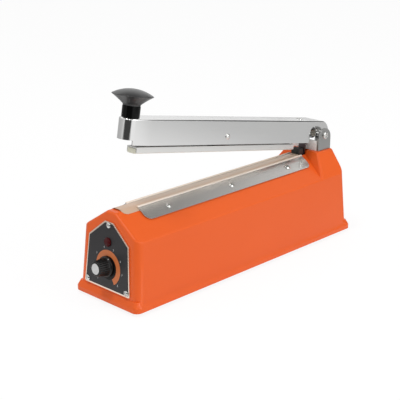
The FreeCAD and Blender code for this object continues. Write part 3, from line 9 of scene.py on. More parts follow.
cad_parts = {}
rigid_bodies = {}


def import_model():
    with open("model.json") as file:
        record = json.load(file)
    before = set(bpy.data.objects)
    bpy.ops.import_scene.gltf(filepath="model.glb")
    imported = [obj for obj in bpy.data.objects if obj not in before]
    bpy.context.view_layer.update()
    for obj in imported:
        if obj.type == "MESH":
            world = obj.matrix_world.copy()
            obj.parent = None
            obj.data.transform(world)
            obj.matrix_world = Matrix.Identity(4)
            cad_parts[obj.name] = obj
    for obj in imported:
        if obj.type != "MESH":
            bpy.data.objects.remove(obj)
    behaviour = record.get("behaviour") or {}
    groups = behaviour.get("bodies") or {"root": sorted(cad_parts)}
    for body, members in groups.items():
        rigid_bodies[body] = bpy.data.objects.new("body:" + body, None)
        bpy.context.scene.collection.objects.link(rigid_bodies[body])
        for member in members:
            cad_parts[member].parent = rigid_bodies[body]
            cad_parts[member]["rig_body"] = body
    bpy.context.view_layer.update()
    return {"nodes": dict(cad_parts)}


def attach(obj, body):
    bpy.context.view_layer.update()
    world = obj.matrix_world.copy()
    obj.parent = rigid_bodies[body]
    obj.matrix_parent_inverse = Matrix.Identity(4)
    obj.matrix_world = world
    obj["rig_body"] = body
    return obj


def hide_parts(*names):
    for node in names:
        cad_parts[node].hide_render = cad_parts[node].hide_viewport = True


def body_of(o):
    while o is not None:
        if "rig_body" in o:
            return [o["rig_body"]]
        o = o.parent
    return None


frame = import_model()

mm = 0.001
# how far the arm stands open in the photo, in degrees
armOpen = 10.45
print("frame loaded with", len(frame["nodes"]), "nodes")

cameraSet = {
    "azimuth": 44.55134886, "elevation": 18.51642769, "roll": -0.24005670,
    "distance": 955.02713, "across": -21.654478, "lift": 53.865688,
    "origin": (0.0, 5.184233, 3.0),
    "lens": 87.96, "sensor": 36.0, "shift": (-0.0034, 0.00027), "clip": (0.05, 40.0),
}


def makeCamera():
    # the eye sits on a sphere about the sealer's middle and slides a little in its own plane
    az, el, roll = (radians(cameraSet[k]) for k in ("azimuth", "elevation", "roll"))
    back = Vector((sin(az) * cos(el), -cos(az) * cos(el), sin(el)))
    right = Vector((cos(az), sin(az), 0.0))
    up = back.cross(right)
    across = right * cos(roll) + up * sin(roll)
    lift = up * cos(roll) - right * sin(roll)
    place = back * cameraSet["distance"] + across * cameraSet["across"] + lift * cameraSet["lift"]
    place = (place + Vector(cameraSet["origin"])) * mm
    turn = Matrix((across, lift, back)).transposed().to_4x4()
    data = bpy.data.cameras.new("camera")
    data.lens, data.sensor_width = cameraSet["lens"], cameraSet["sensor"]
    data.shift_x, data.shift_y = cameraSet["shift"]
    data.clip_start, data.clip_end = cameraSet["clip"]
    eye = bpy.data.objects.new("camera", data)
    eye.matrix_world = Matrix.Translation(place) @ turn
    bpy.context.collection.objects.link(eye)
    bpy.context.scene.camera = eye


makeCamera()
print("camera placed")


class Wire:
    # a shader socket that takes part in Python sums; every sum adds its Math node
    def __init__(self, finish, socket):
        self.finish, self.socket = finish, socket

    def out(self, name):
        return Wire(self.finish, self.socket.node.outputs[name])

    def __add__(self, other):
        return self.finish.maths("ADD", self, other)

    def __sub__(self, other):
        return self.finish.maths("SUBTRACT", self, other)

    def __rsub__(self, other):
        return self.finish.maths("SUBTRACT", other, self)

    def __mul__(self, other):
        return self.finish.maths("MULTIPLY", self, other)

    __radd__ = __add__
    __rmul__ = __mul__


class Network:
    # a shader node tree: node() adds any node, the other methods only call it
    def __init__(self, tree):
        self.tree = tree

    def node(self, kind, settings=None, inputs=None, out=0):
        made = self.tree.nodes.new(kind)
        for key, value in (settings or {}).items():
            setattr(made, key, value)
        for key, value in (inputs or {}).items():
            self.feed(made.inputs[key], value)
        return Wire(self, made.outputs[out])

    def feed(self, socket, value):
        if isinstance(value, Wire):
            self.tree.links.new(value.socket, socket)
        else:
            if socket.type == "RGBA" and len(value) == 3:
                value = (*value, 1.0)
            socket.default_value = value

    def maths(self, operation, first, second):
        return self.node("ShaderNodeMath", {"operation": operation}, {0: first, 1: second})

    def mix(self, factor, first, second):
        return self.node("ShaderNodeMix", {"data_type": "RGBA"}, {0: factor, 6: first, 7: second}, out=2)

    def split(self, place):
        # the first of a place's three parts; the others are its out("Y") and out("Z")
        return self.node("ShaderNodeSeparateXYZ", inputs={0: place}, out="X")

    def ease(self, value, first, last, low, high):
        # the value's way from first to last becomes a soft step from low to high
        return self.node("ShaderNodeMapRange", {"interpolation_type": "SMOOTHSTEP"},
                         {0: value, 1: first, 2: last, 3: low, 4: high})


class Finish(Network):
    # one material round its Principled shader
    def __init__(self, name, **fixed):
        self.material = bpy.data.materials.new(name)
        self.material.use_nodes = True
        super().__init__(self.material.node_tree)
        self.shader = self.tree.nodes["Principled BSDF"]
        for socket, value in fixed.items():
            self.set(socket.replace("_", " "), value)

    def set(self, socket, value):
        self.feed(self.shader.inputs[socket], value)
        return self

    def place(self, stretch=(1, 1, 1), turn=(0, 0, 0)):
        # object coordinates, in metres, turned and then stretched for a directional pattern
        spot = self.node("ShaderNodeTexCoord", out="Object")
        spot = self.node("ShaderNodeMapping", inputs={"Vector": spot, "Rotation": turn})
        return self.node("ShaderNodeMapping", inputs={"Vector": spot, "Scale": stretch})

    def noise(self, scale, detail=2.0, stretch=(1, 1, 1), turn=(0, 0, 0)):
        # soft clouds between nought and one, centred on a half
        return self.node("ShaderNodeTexNoise", inputs={
            "Vector": self.place(stretch, turn), "Scale": scale, "Detail": detail})

    def bump(self, height, strength, distance):
        made = self.node("ShaderNodeBump", inputs={
            "Height": height, "Strength": strength, "Distance": distance})
        return self.set("Normal", made)


def grey(value):
    return (value, value, value)


mouldedSet = {"cloudScale": 14.0, "cloudGloss": 0.10, "grainGloss": 0.06, "grainDepth": 0.0003}


def mouldedFinish(name, colour, other, rough, grain=0.06, grainScale=900.0, **fixed):
    # moulded plastic: two near shades in soft clouds, a fine grain in the gloss and the surface
    m = mouldedSet
    made = Finish(name, **fixed)
    cloud = made.noise(m["cloudScale"], 3.0)
    fine = made.noise(grainScale, 2.0)
    made.set("Base Color", made.mix(cloud, colour, other))
    made.set("Roughness", rough + (cloud - 0.5) * m["cloudGloss"] + (fine - 0.5) * m["grainGloss"])
    return made.bump(fine, grain, m["grainDepth"])


metalSet = {
    # shares of the written colour at the dark and the pale end, and where the middle tone lies
    "dark": 0.5, "pale": 1.12, "middle": 0.8,
    "lineScale": 2600.0, "lineStretch": 0.012, "bandScale": 160.0, "bandStretch": 0.1,
    "lineGloss": 0.16, "lineDepth": 0.00005, "drawnCloud": 30.0,
    "grainGloss": 0.12, "grainDepth": 0.0001, "grainedCloud": 45.0, "cloudGloss": 0.10,
}


def metalTone(made, tone, colour):
    # the tone runs from a dark to a pale share of the colour
    dark, pale = (tuple(c * metalSet[end] for c in colour) for end in ("dark", "pale"))
    made.set("Base Color", made.mix(tone, dark, pale))


def drawnMetal(name, colour, rough, along=(0, 1, 0), turn=(0, 0, 0), line=0.05, shade=0.06, **fixed):
    # rolled or drawn metal: fine lines along the sheet, broader soft bands, scattered dull spots
    m = metalSet
    made = Finish(name, Metallic=1.0, **fixed)
    lineStretch, bandStretch = (tuple(m[key] if k else 1.0 for k in along)
                                for key in ("lineStretch", "bandStretch"))
    lines = made.noise(m["lineScale"], 3.0, lineStretch, turn)
    bands = made.noise(m["bandScale"], 2.0, bandStretch, turn)
    clouds = made.noise(m["drawnCloud"], 3.0)
    tone = (lines - 0.5) * shade + (bands - 0.5) * shade + (clouds - 0.5) * shade + 1.0
    metalTone(made, tone * m["middle"], colour)
    made.set("Roughness", rough + (lines - 0.5) * m["lineGloss"] + (clouds - 0.5) * m["cloudGloss"])
    return made.bump(lines, line, m["lineDepth"])


def grainedMetal(name, colour, rough, grain=0.08, scale=700.0, shade=0.08, **fixed):
    # plated or cast metal: an even fine grain with soft clouds
    m = metalSet
    made = Finish(name, Metallic=1.0, **fixed)
    fine = made.noise(scale, 3.0)
    clouds = made.noise(m["grainedCloud"], 3.0)
    metalTone(made, (fine - 0.5) * shade + (clouds - 0.5) * shade * 2 + m["middle"], colour)
    made.set("Roughness", rough + (fine - 0.5) * m["grainGloss"] + (clouds - 0.5) * m["cloudGloss"])
    return made.bump(fine, grain, m["grainDepth"])


armTilt = (radians(armOpen), 0, 0)
finishes = {
    "orange": mouldedFinish("orangeMoulding", (0.83, 0.120, 0.013), (0.79, 0.110, 0.011), 0.34, 0.05,
                            Specular_IOR_Level=0.32),
    "basePlate": mouldedFinish("basePlatePaint", grey(0.03), grey(0.024), 0.55, 0.15, 500.0),
    "handle": mouldedFinish("handleMoulding", grey(0.016), grey(0.022), 0.32, 0.08, 800.0,
                            Specular_IOR_Level=0.7),
    "collar": mouldedFinish("handleCollar", grey(0.003), grey(0.004), 0.14, 0.04, 900.0,
                            Specular_IOR_Level=0.12),
    "knob": mouldedFinish("knobMoulding", grey(0.004), grey(0.006), 0.30, 0.08, 900.0,
                          Specular_IOR_Level=0.35),
    "film": mouldedFinish("panelFilm", (0.030, 0.028, 0.030), (0.026, 0.025, 0.027), 0.42, 0.06, 1400.0,
                          Specular_IOR_Level=0.3),
    "ink": mouldedFinish("dialInk", (0.62, 0.17, 0.045), (0.56, 0.15, 0.04), 0.5, 0.05),
    "blackInk": mouldedFinish("blackInk", grey(0.006), grey(0.009), 0.5, 0.05, Specular_IOR_Level=0.2),
    "paleInk": mouldedFinish("paleInk", grey(0.62), grey(0.55), 0.5, 0.05),
    "cap": mouldedFinish("knobCapPaint", grey(0.64), grey(0.59), 0.3, 0.05),
    "rubber": mouldedFinish("blackRubber", grey(0.018), grey(0.026), 0.75, 0.3, 600.0),
    "phenolic": mouldedFinish("phenolicBoard", (0.10, 0.045, 0.022), (0.14, 0.06, 0.03), 0.5, 0.1),
    "silicone": mouldedFinish("siliconeRubber", (0.93, 0.92, 0.78), (0.88, 0.87, 0.70), 0.4, 0.08,
                              500.0, Transmission_Weight=0.15),
    "nylon": mouldedFinish("naturalNylon", (0.62, 0.60, 0.52), (0.56, 0.54, 0.46), 0.5, 0.1),
    "tape": mouldedFinish("glassTape", (0.60, 0.56, 0.46), (0.52, 0.48, 0.38), 0.6, 0.3, 1800.0),
    "board": mouldedFinish("circuitBoard", (0.02, 0.12, 0.04), (0.03, 0.16, 0.05), 0.35, 0.05),
    "component": mouldedFinish("componentCase", (0.03, 0.09, 0.30), (0.04, 0.11, 0.36), 0.35, 0.05),
    "blackCase": mouldedFinish("blackCase", grey(0.02), grey(0.028), 0.45, 0.1),
    "arm": drawnMetal("platedArm", (0.78, 0.78, 0.775), 0.15, turn=armTilt, line=0.012, shade=0.03),
    "bar": drawnMetal("drawnBar", (0.79, 0.785, 0.765), 0.30, turn=armTilt, line=0.03, shade=0.04),
    # the aluminium is tinted orange as a painted reflection of the orange housing around it
    "panel": drawnMetal("panelAluminium", (0.86, 0.72, 0.61), 0.28, along=(1, 0, 0), line=0.05),
    "screw": grainedMetal("platedScrew", (0.68, 0.68, 0.66), 0.22, 0.04),
    "striker": grainedMetal("blackenedStriker", (0.13, 0.10, 0.105), 0.45, 0.15),
    "spring": grainedMetal("springWire", (0.42, 0.42, 0.43), 0.3, 0.05),
    "brass": grainedMetal("brassPart", (0.80, 0.56, 0.24), 0.28, 0.05),
    "nichrome": drawnMetal("nichromeBand", (0.42, 0.38, 0.34), 0.35),
    "lamination": drawnMetal("laminatedCore", (0.28, 0.28, 0.29), 0.45, along=(0, 0, 1), line=0.4),
    "copper": drawnMetal("enamelledCopper", (0.72, 0.28, 0.12), 0.3, along=(0, 0, 1), line=0.4),
    "redGlass": mouldedFinish("redLens", (0.055, 0.004, 0.005), (0.07, 0.005, 0.006), 0.14, 0.02, 400.0,
                              Specular_IOR_Level=0.15),
}

clothSet = {
    # in mm, the slope in degrees; cols and rows are counts of points
    "front": -128.815767, "rear": 111.184233, "thick": 0.25, "drawn": 0.2,
    "bedEdge": 4.2, "tapeEdge": 3.0, "bedTop": 83.9, "rise": 0.35, "shoulder": 0.05,
    "ridgeHalf": 5.5, "ridgeTop": 83.3, "slope": 32.98, "drop": 5.0, "lift": 0.05,
    "corner": 0.5, "edgeGap": 0.1, "cols": 61, "rows": 241,
    # how far the front edge is cut back, at shares of the width from the middle
    "tabAt": (0.0, 0.30, 0.42, 0.5), "tabBack": (0.0, 0.0, 1.2, 4.6),
    "ripple": 0.02, "rippleAlong": 0.21, "rippleAcross": 4.0, "rippleHalf": 3.2,
    "thread": 0.55, "frontToneEnd": 75.0,
}


def clothFinish():
    # glass cloth coated with resin: crossing threads from the sheet's own coordinates,
    # scorched a little darker along the wire; painted light makes it lighter over most of its length
    # against the arm's shade, with a deeper orange-brown tone at the front end
    made = Finish("coatedCloth", Specular_IOR_Level=0.5, Coat_Weight=0.15, Coat_Roughness=0.25)
    across = made.split(made.node("ShaderNodeTexCoord", out="UV"))
    along = across.out("Y")
    turns = 2 * pi / (clothSet["thread"] * mm)
    warp = made.maths("SINE", across * turns, 0.0)
    weft = made.maths("SINE", along * turns, 0.0)
    weave = warp * weft * 0.5 + 0.5
    clouds = made.noise(26.0, 4.0)
    streaks = made.noise(300.0, 2.0, (1, 0.05, 1))
    # the front end keeps a deeper orange-brown; the cloud tones behind it are painted lighter to make up
    # for the arm's shade
    front = made.ease(along, 0.0, clothSet["frontToneEnd"] * mm, 1.0, 0.0)
    shade = made.mix(clouds, (0.60, 0.455, 0.35), (0.69, 0.53, 0.41))
    shade = made.mix(front * 0.85, shade, (0.62, 0.42, 0.30))
    shade = made.mix(weave * 0.16 + streaks * 0.12, shade, (0.42, 0.30, 0.21))
    made.set("Base Color", shade)
    made.set("Roughness", 0.42 + (clouds - 0.5) * 0.12)
    return made.bump(weave, 0.25, 0.00006)


def tinted(made, share, colour, metal):
    # carries the material over to another colour, and to that much metal, where share is one
    tone = Wire(made, made.shader.inputs["Base Color"].links[0].from_socket)
    made.set("Base Color", made.mix(share, tone, colour))
    return made.set("Metallic", 1.0 - share * (1.0 - metal))


# where the bracket's web ends on both sides of its middle, and from what height the strip is lip; the
# painted highlights on both start there
webEdge = (15.6 * mm, 16.1 * mm)
lipEdge = (83.25 * mm, 83.6 * mm)


def bracketFinish():
    # zinc plate with a painted highlight: paler and less metallic on the web between the ears
    made = grainedMetal("zincedBracket", (0.42, 0.42, 0.41), 0.30)
    aside = made.maths("ABSOLUTE", made.split(made.place()), 0.0)
    return tinted(made, made.ease(aside, *webEdge, 1.0, 0.0), (1.0, 1.0, 0.97), 0.2)


def stripFinish():
    # rolled steel, its folded lip painted as a pale highlight line
    made = drawnMetal("rolledStrip", (0.63, 0.615, 0.59), 0.22, line=0.015, shade=0.05)
    height = made.split(made.place()).out("Z")
    return tinted(made, made.ease(height, *lipEdge, 0.0, 1.0), (0.98, 0.86, 0.75), 0.25)


finishes["cloth"] = clothFinish()
finishes["strip"] = stripFinish()
finishes["bracket"] = bracketFinish()
print("finishes made:", len(finishes))


# points nearer than this, in metres, are one: in worked-out meshes and in the CAD's copies
pieceMerge = 1e-7
copyMerge = 2e-6


def piece(name, points, faces, body, finish, replaced=(), slot=None, smooth=35.0):
    # puts worked-out points and faces into a closed mesh whose object sits at the origin
    mesh = bpy.data.meshes.new(name)
    mesh.from_pydata(points.tolist(), [], faces)
    work = bmesh.new()
    work.from_mesh(mesh)
    bmesh.ops.remove_doubles(work, verts=work.verts, dist=pieceMerge)
    bmesh.ops.recalc_face_normals(work, faces=work.faces)
    work.to_mesh(mesh)
    work.free()
    return finished(name, mesh, body, finish, replaced, smooth)


def finished(name, mesh, body, finish, replaced=(), smooth=35.0):
    # gives a mesh its material and body and hides the nodes it replaces; edges sharper than smooth stay
    # hard
    mesh.shade_smooth()
    if smooth:
        mesh.set_sharp_from_angle(angle=radians(smooth))
    mesh.materials.clear()
    mesh.materials.append(finishes[finish].material)
    made = bpy.data.objects.new(name, mesh)
    bpy.context.collection.objects.link(made)
    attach(made, body)
    if replaced:
        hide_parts(*replaced)
    return made


def evaluatedMesh(thing):
    return bpy.data.meshes.new_from_object(thing.evaluated_get(bpy.context.evaluated_depsgraph_get()))


def gridFaces(rows, cols, loop=False, ring=False):
    # quads between neighbouring points of a rows x cols grid; ring joins the last column to the
    # first and loop the last row to the first
    down = np.arange(rows if loop else rows - 1)[:, None]
    side = np.arange(cols if ring else cols - 1)[None, :]
    nextDown, nextSide = (down + 1) % rows, (side + 1) % cols
    quads = np.stack([down * cols + side, down * cols + nextSide,
                      nextDown * cols + nextSide, nextDown * cols + side], axis=-1)
    return quads.reshape(-1, 4).tolist()


def turnedGrid(profile, sides, swell=None):
    # each profile point (radius, height) goes round the axis in equal steps; swell scales the
    # radius by a function of the angle and the height
    angle = np.linspace(0, 2 * pi, sides, endpoint=False)
    radius = np.repeat(profile[:, :1], sides, axis=1)
    height = np.repeat(profile[:, 1:], sides, axis=1)
    if swell is not None:
        radius = radius + swell(angle[None, :], profile[:, :1], profile[:, 1:])
    return np.stack([radius * np.cos(angle), radius * np.sin(angle), height], axis=-1)


def turned(name, profile, axis, body, finish, sides=96, swell=None, **more):
    # a closed turned piece: its profile is a loop, or starts and ends on the axis
    loop = profile[0][0] > 1e-6
    profile = np.array(profile, float)
    grid = turnedGrid(profile, sides, swell)
    rows = len(profile)
    faces = gridFaces(rows, sides, loop=loop, ring=True)
    return piece(name, onAxis(grid.reshape(-1, 3), axis), faces, body, finish, **more)


def onAxis(points, axis):
    # local millimetres into the frame: axis holds the origin and the three directions
    origin, x, y, z = (np.array(v, float) for v in axis)
    return (origin + points[:, :1] * x + points[:, 1:2] * y + points[:, 2:] * z) * mm


def arc(first, last, radius, side, count=14):
    # points on the circle of that radius through both ends, bulging to the left for side 1
    a, b = np.array(first, float), np.array(last, float)
    half = np.linalg.norm(b - a) / 2
    along = (b - a) / (2 * half)
    across = np.array([-along[1], along[0]]) * side
    centre = (a + b) / 2 - across * sqrt(max(radius ** 2 - half ** 2, 0.0))
    start, end = a - centre, b - centre
    turn = atan2(start[0] * end[1] - start[1] * end[0], start @ end)
    steps = np.linspace(0, 1, count)[:, None] * turn
    return [tuple(p) for p in centre + start * np.cos(steps)
            + np.array([-start[1], start[0]]) * np.sin(steps)]


def eased(points, radius, count=5):
    # every corner of the profile becomes a short curve that leaves both sides at that distance,
    # or nearer where a side is short
    most = 0.45
    points = np.array(points, float)
    result = [tuple(points[0])]
    for before, corner, after in zip(points[:-2], points[1:-1], points[2:]):
        back, ahead = before - corner, after - corner
        reach = min(radius, np.linalg.norm(back) * most, np.linalg.norm(ahead) * most)
        start = corner + back / np.linalg.norm(back) * reach
        end = corner + ahead / np.linalg.norm(ahead) * reach
        t = np.linspace(0, 1, count)[:, None]
        result += [tuple(p) for p in start * (1 - t) ** 2 + corner * 2 * t * (1 - t) + end * t ** 2]
    return result + [tuple(points[-1])]


def polished(node, finish, width, angle=32.0):
    # the node's own shape with its triangles merged, its hard edges eased and its faces smooth;
    # flat joins faces that lie within so many degrees, and weight favours the larger faces
    flat, segments, weight = 0.4, 2, 60
    mesh = frame["nodes"][node].data.copy()
    mesh.name = node + "Eased"
    work = bmesh.new()
    work.from_mesh(mesh)
    bmesh.ops.remove_doubles(work, verts=work.verts, dist=copyMerge)
    bmesh.ops.dissolve_limit(work, angle_limit=radians(flat), verts=work.verts, edges=work.edges)
    work.to_mesh(mesh)
    work.free()
    if "custom_normal" in mesh.attributes:
        mesh.attributes.remove(mesh.attributes["custom_normal"])
    body = body_of(frame["nodes"][node])[0]
    made = finished(node + "Eased", mesh, body, finish, (node,), smooth=None)
    ease = made.modifiers.new("ease", "BEVEL")
    ease.width, ease.segments = width * mm, segments
    ease.limit_method, ease.angle_limit = "ANGLE", radians(angle)
    ease.use_clamp_overlap = True
    even = made.modifiers.new("even", "WEIGHTED_NORMAL")
    even.weight, even.keep_sharp = weight, False
    return made


panelSet = {
    # in mm and degrees, as the CAD has them: the dial's middle, the front wall's tilt, and how far
    # the film's face stands out from the dial's middle
    "dial": (0.0, -140.311, 34.912), "tilt": 85.0, "skin": 1.5,
}


def dialAxis(x=0.0, y=0.0, out=0.0):
    # the dial's own axes: across, up the sloping front wall, and straight out of it
    tilt = radians(panelSet["tilt"])
    across, up = np.array((1.0, 0, 0)), np.array((0, cos(tilt), sin(tilt)))
    outward = np.array((0, -sin(tilt), cos(tilt)))
    origin = np.array(panelSet["dial"]) + across * x + up * y + outward * out
    return origin, across, up, outward


knobSet = {
    # in mm and degrees
    "gap": 0.5, "baseRadius": 9.3, "skirt": 2.2, "gripRadius": 7.9, "length": 13.0,
    "skirtFall": (0.3, 0.4), "endRadius": 6.1, "endFall": (0.5, 0.7), "corner": 0.5,
    "recess": 6.6, "recessDepth": 2.8, "bore": 3.02,
    "capRadius": 4.9, "capSink": 0.8, "capGap": 0.1, "capLip": (0.4, 1.3, 1.5), "capDish": 0.12,
    "flutes": 20, "fluteDepth": 0.42, "fluteShape": 0.7, "fluteFoot": 0.9, "fluteFade": (0.8, 0.5),
    "fluteInner": 0.4, "step": 0.9,
    "pointerAngle": 62.0, "pointerOut": 0.75, "pointerSink": 0.45,
    "pointer": ((0.0, 0.0), (0.55, 0.0), (0.55, 0.45), (0.4, 0.62), (0.0, 0.66)),
}


def makeKnob():
    k = knobSet
    base = panelSet["skin"] + k["gap"]
    skirt, top = base + k["skirt"], base + k["length"]
    (flare, drop), (inset, fall) = k["skirtFall"], k["endFall"]
    seat, floor = k["capRadius"] + k["capGap"], top - k["capSink"]
    outside = eased([
        (k["recess"], base), (k["baseRadius"], base), (k["baseRadius"], skirt - flare),
        (k["gripRadius"] + flare, skirt + drop),
        (k["endRadius"] + inset, top - fall), (k["endRadius"], top), (seat, top)], k["corner"])
    inside = [(seat, floor), (k["bore"], floor),
              (k["bore"], base + k["recessDepth"]), (k["recess"], base + k["recessDepth"])]
    low, high = skirt + k["fluteFoot"], top - fall

    def flutes(angle, radius, height):
        # shallow scallops round the grip, fading out at its foot and its rim
        foot, rim = k["fluteFade"]
        fade = np.clip((height - low) / foot, 0, 1) * np.clip((high - height) / rim + 1, 0, 1)
        wave = np.abs(np.sin(angle * k["flutes"] / 2)) ** k["fluteShape"]
        return -k["fluteDepth"] * (1 - wave) * fade * (radius > k["capRadius"] + k["fluteInner"])

    steps = []
    for a, b in zip(outside[:-1], outside[1:]):
        count = max(1, int(hypot(b[0] - a[0], b[1] - a[1]) / k["step"]))
        steps += [(a[0] + (b[0] - a[0]) * n / count, a[1] + (b[1] - a[1]) * n / count)
                  for n in range(count)]
    turned("timerKnobGrip", steps + [outside[-1]] + inside, dialAxis(), "timer_knob", "knob",
           sides=240, swell=flutes, replaced=("timer_knob",), slot="knob_black", smooth=50.0)
    rim, dish = k["capRadius"], top - k["capDish"]
    first, second, third = k["capLip"]
    face = eased([(0.0, floor), (rim, floor), (rim, top - k["capGap"]), (rim - first, top),
                  (rim - second, top), (rim - third, dish), (0.0, dish)], 0.1, 3)
    turned("timerKnobFace", face, dialAxis(), "timer_knob", "cap", sides=96,
           replaced=("timer_knob_cap",), slot="cap_white")
    angle = radians(k["pointerAngle"])
    reach = k["gripRadius"] + k["pointerOut"]
    spot = dialAxis(reach * cos(angle), reach * sin(angle), skirt - k["pointerSink"])
    turned("timerPointer", k["pointer"], spot, "timer_knob", "paleInk", sides=24, slot="cap_white")


lampSet = {
    # in mm, from the film's face outward and from the dial's middle upward
    "up": 21.9, "radius": 4.0, "rim": 1.008, "dome": 1.248, "foot": -4.0,
    "ring": 0.09, "ringPitch": 1.0, "ringEnd": 0.4,
}


def makeLamp():
    # a domed lens with rings moulded into it, inside the holder's lip
    p = lampSet
    rise = np.linspace(0, 1, 40)
    radius = p["radius"] * np.cos(rise * pi / 2)
    dome = panelSet["skin"] + p["rim"] + p["dome"] * np.sin(rise * pi / 2)
    rings = p["ring"] * np.cos(radius * 2 * pi / p["ringPitch"])
    dome = dome + rings * (radius < p["radius"] - p["ringEnd"])
    profile = [(0.0, p["foot"]), (p["radius"], p["foot"])] + list(zip(radius, dome))
    turned("signalLens", profile, dialAxis(0, p["up"]), "base", "redGlass", sides=72,
           replaced=("indicator_lens",), slot="red_lens", smooth=60.0)


printSet = {
    # in mm and degrees; the print's centre is a little off the dial's middle, as in the photo
    "centre": (1.2, -1.1), "bandInner": 10.6, "bandOuter": 15.9, "bandEnds": (184.0, -58.0),
    "bandSteps": 96,
    "numberRadius": 18.4, "numberSize": 2.6, "numberEnds": (224.5, -45.0), "numberCount": 8,
    "thick": 0.03, "gap": 0.01,
}


def makeDialPrint():
    # an orange band round the dial, a black disc inside it and plain numbers outside; the band is
    # a flat strip section set at equal steps along an arc
    p = printSet
    (cx, cy), under, steps = p["centre"], panelSet["skin"] + p["gap"], p["bandSteps"]
    angle = np.linspace(*(radians(a) for a in p["bandEnds"]), steps)[:, None]
    radius = np.array([[p["bandInner"], p["bandOuter"], p["bandOuter"], p["bandInner"]]])
    height = np.array([[0.0, 0.0, 1.0, 1.0]]) * p["thick"] + under
    grid = np.stack([cx + radius * np.cos(angle), cy + radius * np.sin(angle),
                     height + 0 * angle], axis=-1)
    ends = [[0, 1, 2, 3], list(range(4 * steps - 1, 4 * steps - 5, -1))]
    piece("dialBand", onAxis(grid.reshape(-1, 3), dialAxis()), gridFaces(steps, 4, ring=True) + ends,
          "base", "ink", slot="orange_plastic")
    over = under + p["gap"]
    disc = [(0.0, under), (p["bandInner"], under), (p["bandInner"], over), (0.0, over)]
    turned("dialDisc", disc, dialAxis(cx, cy), "base", "blackInk", slot="knob_black")
    made = bmesh.new()
    for k, turn in enumerate(np.radians(np.linspace(*p["numberEnds"], p["numberCount"]))):
        centre = np.array((cx + p["numberRadius"] * cos(turn), cy + p["numberRadius"] * sin(turn),
                           under + p["thick"] / 2))
        addNumber(made, str(k + 1), centre)
    mesh = bpy.data.meshes.new("dialNumbers")
    made.to_mesh(mesh)
    made.free()
    finished("dialNumbers", mesh, "base", "paleInk")


def addNumber(made, number, centre):
    # a number as a thin flat mesh on the panel, joined to the others
    words = bpy.data.curves.new("dialNumber", "FONT")
    words.body, words.size = number, printSet["numberSize"]
    words.align_x, words.align_y = "CENTER", "CENTER"
    words.extrude, words.resolution_u = printSet["thick"] / 2, 4
    holder = bpy.data.objects.new("dialNumber", words)
    bpy.context.collection.objects.link(holder)
    bpy.context.view_layer.update()
    flat = evaluatedMesh(holder)
    points = np.zeros(len(flat.vertices) * 3)
    flat.vertices.foreach_get("co", points)
    points = points.reshape(-1, 3) + centre
    flat.vertices.foreach_set("co", onAxis(points, dialAxis()).ravel())
    made.from_mesh(flat)
    bpy.data.objects.remove(holder)
    bpy.data.meshes.remove(flat)


makeKnob()
makeLamp()
makeDialPrint()
print("dial, knob and lamp made")

handleSet = {
    # in mm; reach and seat are the handle's place on the arm, from the pivot
    "pivot": (0.0, 136.484233, 102.4), "reach": 253.7, "seat": 13.7,
    "bore": 2.15, "stem": 7.95, "stemHeight": 11.0, "seam": 9.6, "seamStep": 0.1, "seamGap": 0.05,
    "collarIn": 0.4, "neckIn": (0.5, 0.25, 0.1), "neckRise": 0.25, "corner": 0.5,
    "capRadius": 18.1, "capRim": 7.7, "lipRise": (0.15, 0.35), "lipIn": 0.1,
    "capEdge": 0.5, "capDome": 5.0, "domeIn": 0.35, "flare": 70.0,
}


def armAxis(reach, above):
    # the open arm's own axes: across, back along the arm, and square to its top
    turn = radians(armOpen)
    across, back = np.array((1.0, 0, 0)), np.array((0, cos(turn), -sin(turn)))
    over = np.array((0, sin(turn), cos(turn)))
    return np.array(handleSet["pivot"]) - back * reach + over * above, across, back, over


def makeHandle():
    # a collar on the arm and a mushroom on it: a hollow cone, a thin lip and a low dome
    h = handleSet
    bore, stem, seam, cap = h["bore"], h["stem"], h["seam"], h["capRadius"]
    rim, step = h["stemHeight"] + h["capRim"], seam + h["seamStep"]
    collar = eased([(bore, 0.0), (stem, 0.0), (stem, seam), (stem - h["collarIn"], step), (bore, step)],
                   h["corner"])
    low, middle, high = (stem - inward for inward in h["neckIn"])
    foot = step + h["seamGap"]
    neck = [(bore, foot), (low, foot), (middle, foot + h["neckRise"])]
    cone = arc((high, h["stemHeight"]), (cap, rim), h["flare"], 1, 24)
    lip = [(cap, rim + h["lipRise"][0]), (cap - h["lipIn"], rim + h["lipRise"][1])]
    edge, crown = cap - h["domeIn"], rim + h["capEdge"]
    domeRadius = (edge ** 2 + h["capDome"] ** 2) / (2 * h["capDome"])
    dome = arc((edge, crown), (0.0, crown + h["capDome"]), domeRadius, -1, 30)
    inside = [(0.0, h["stemHeight"]), (bore, h["stemHeight"])]
    for name, profile, finish in (("handleCollar", collar, "collar"),
                                  ("handleMushroom", neck + cone + lip + dome + inside, "handle")):
        turned(name, profile, armAxis(h["reach"], h["seat"]), "arm", finish, sides=128,
               replaced=("handle_knob",), slot="knob_black", smooth=50.0)


noseSet = {
    # in mm from the pivot along the arm and from its axis upward: where the cut starts on the
    # near and the far wall, and its height; the cutter's other sides lie clear of the arm
    "near": 256.3, "far": 238.0, "under": -5.0, "half": 20.0, "beyond": 300.0, "below": -40.0,
}


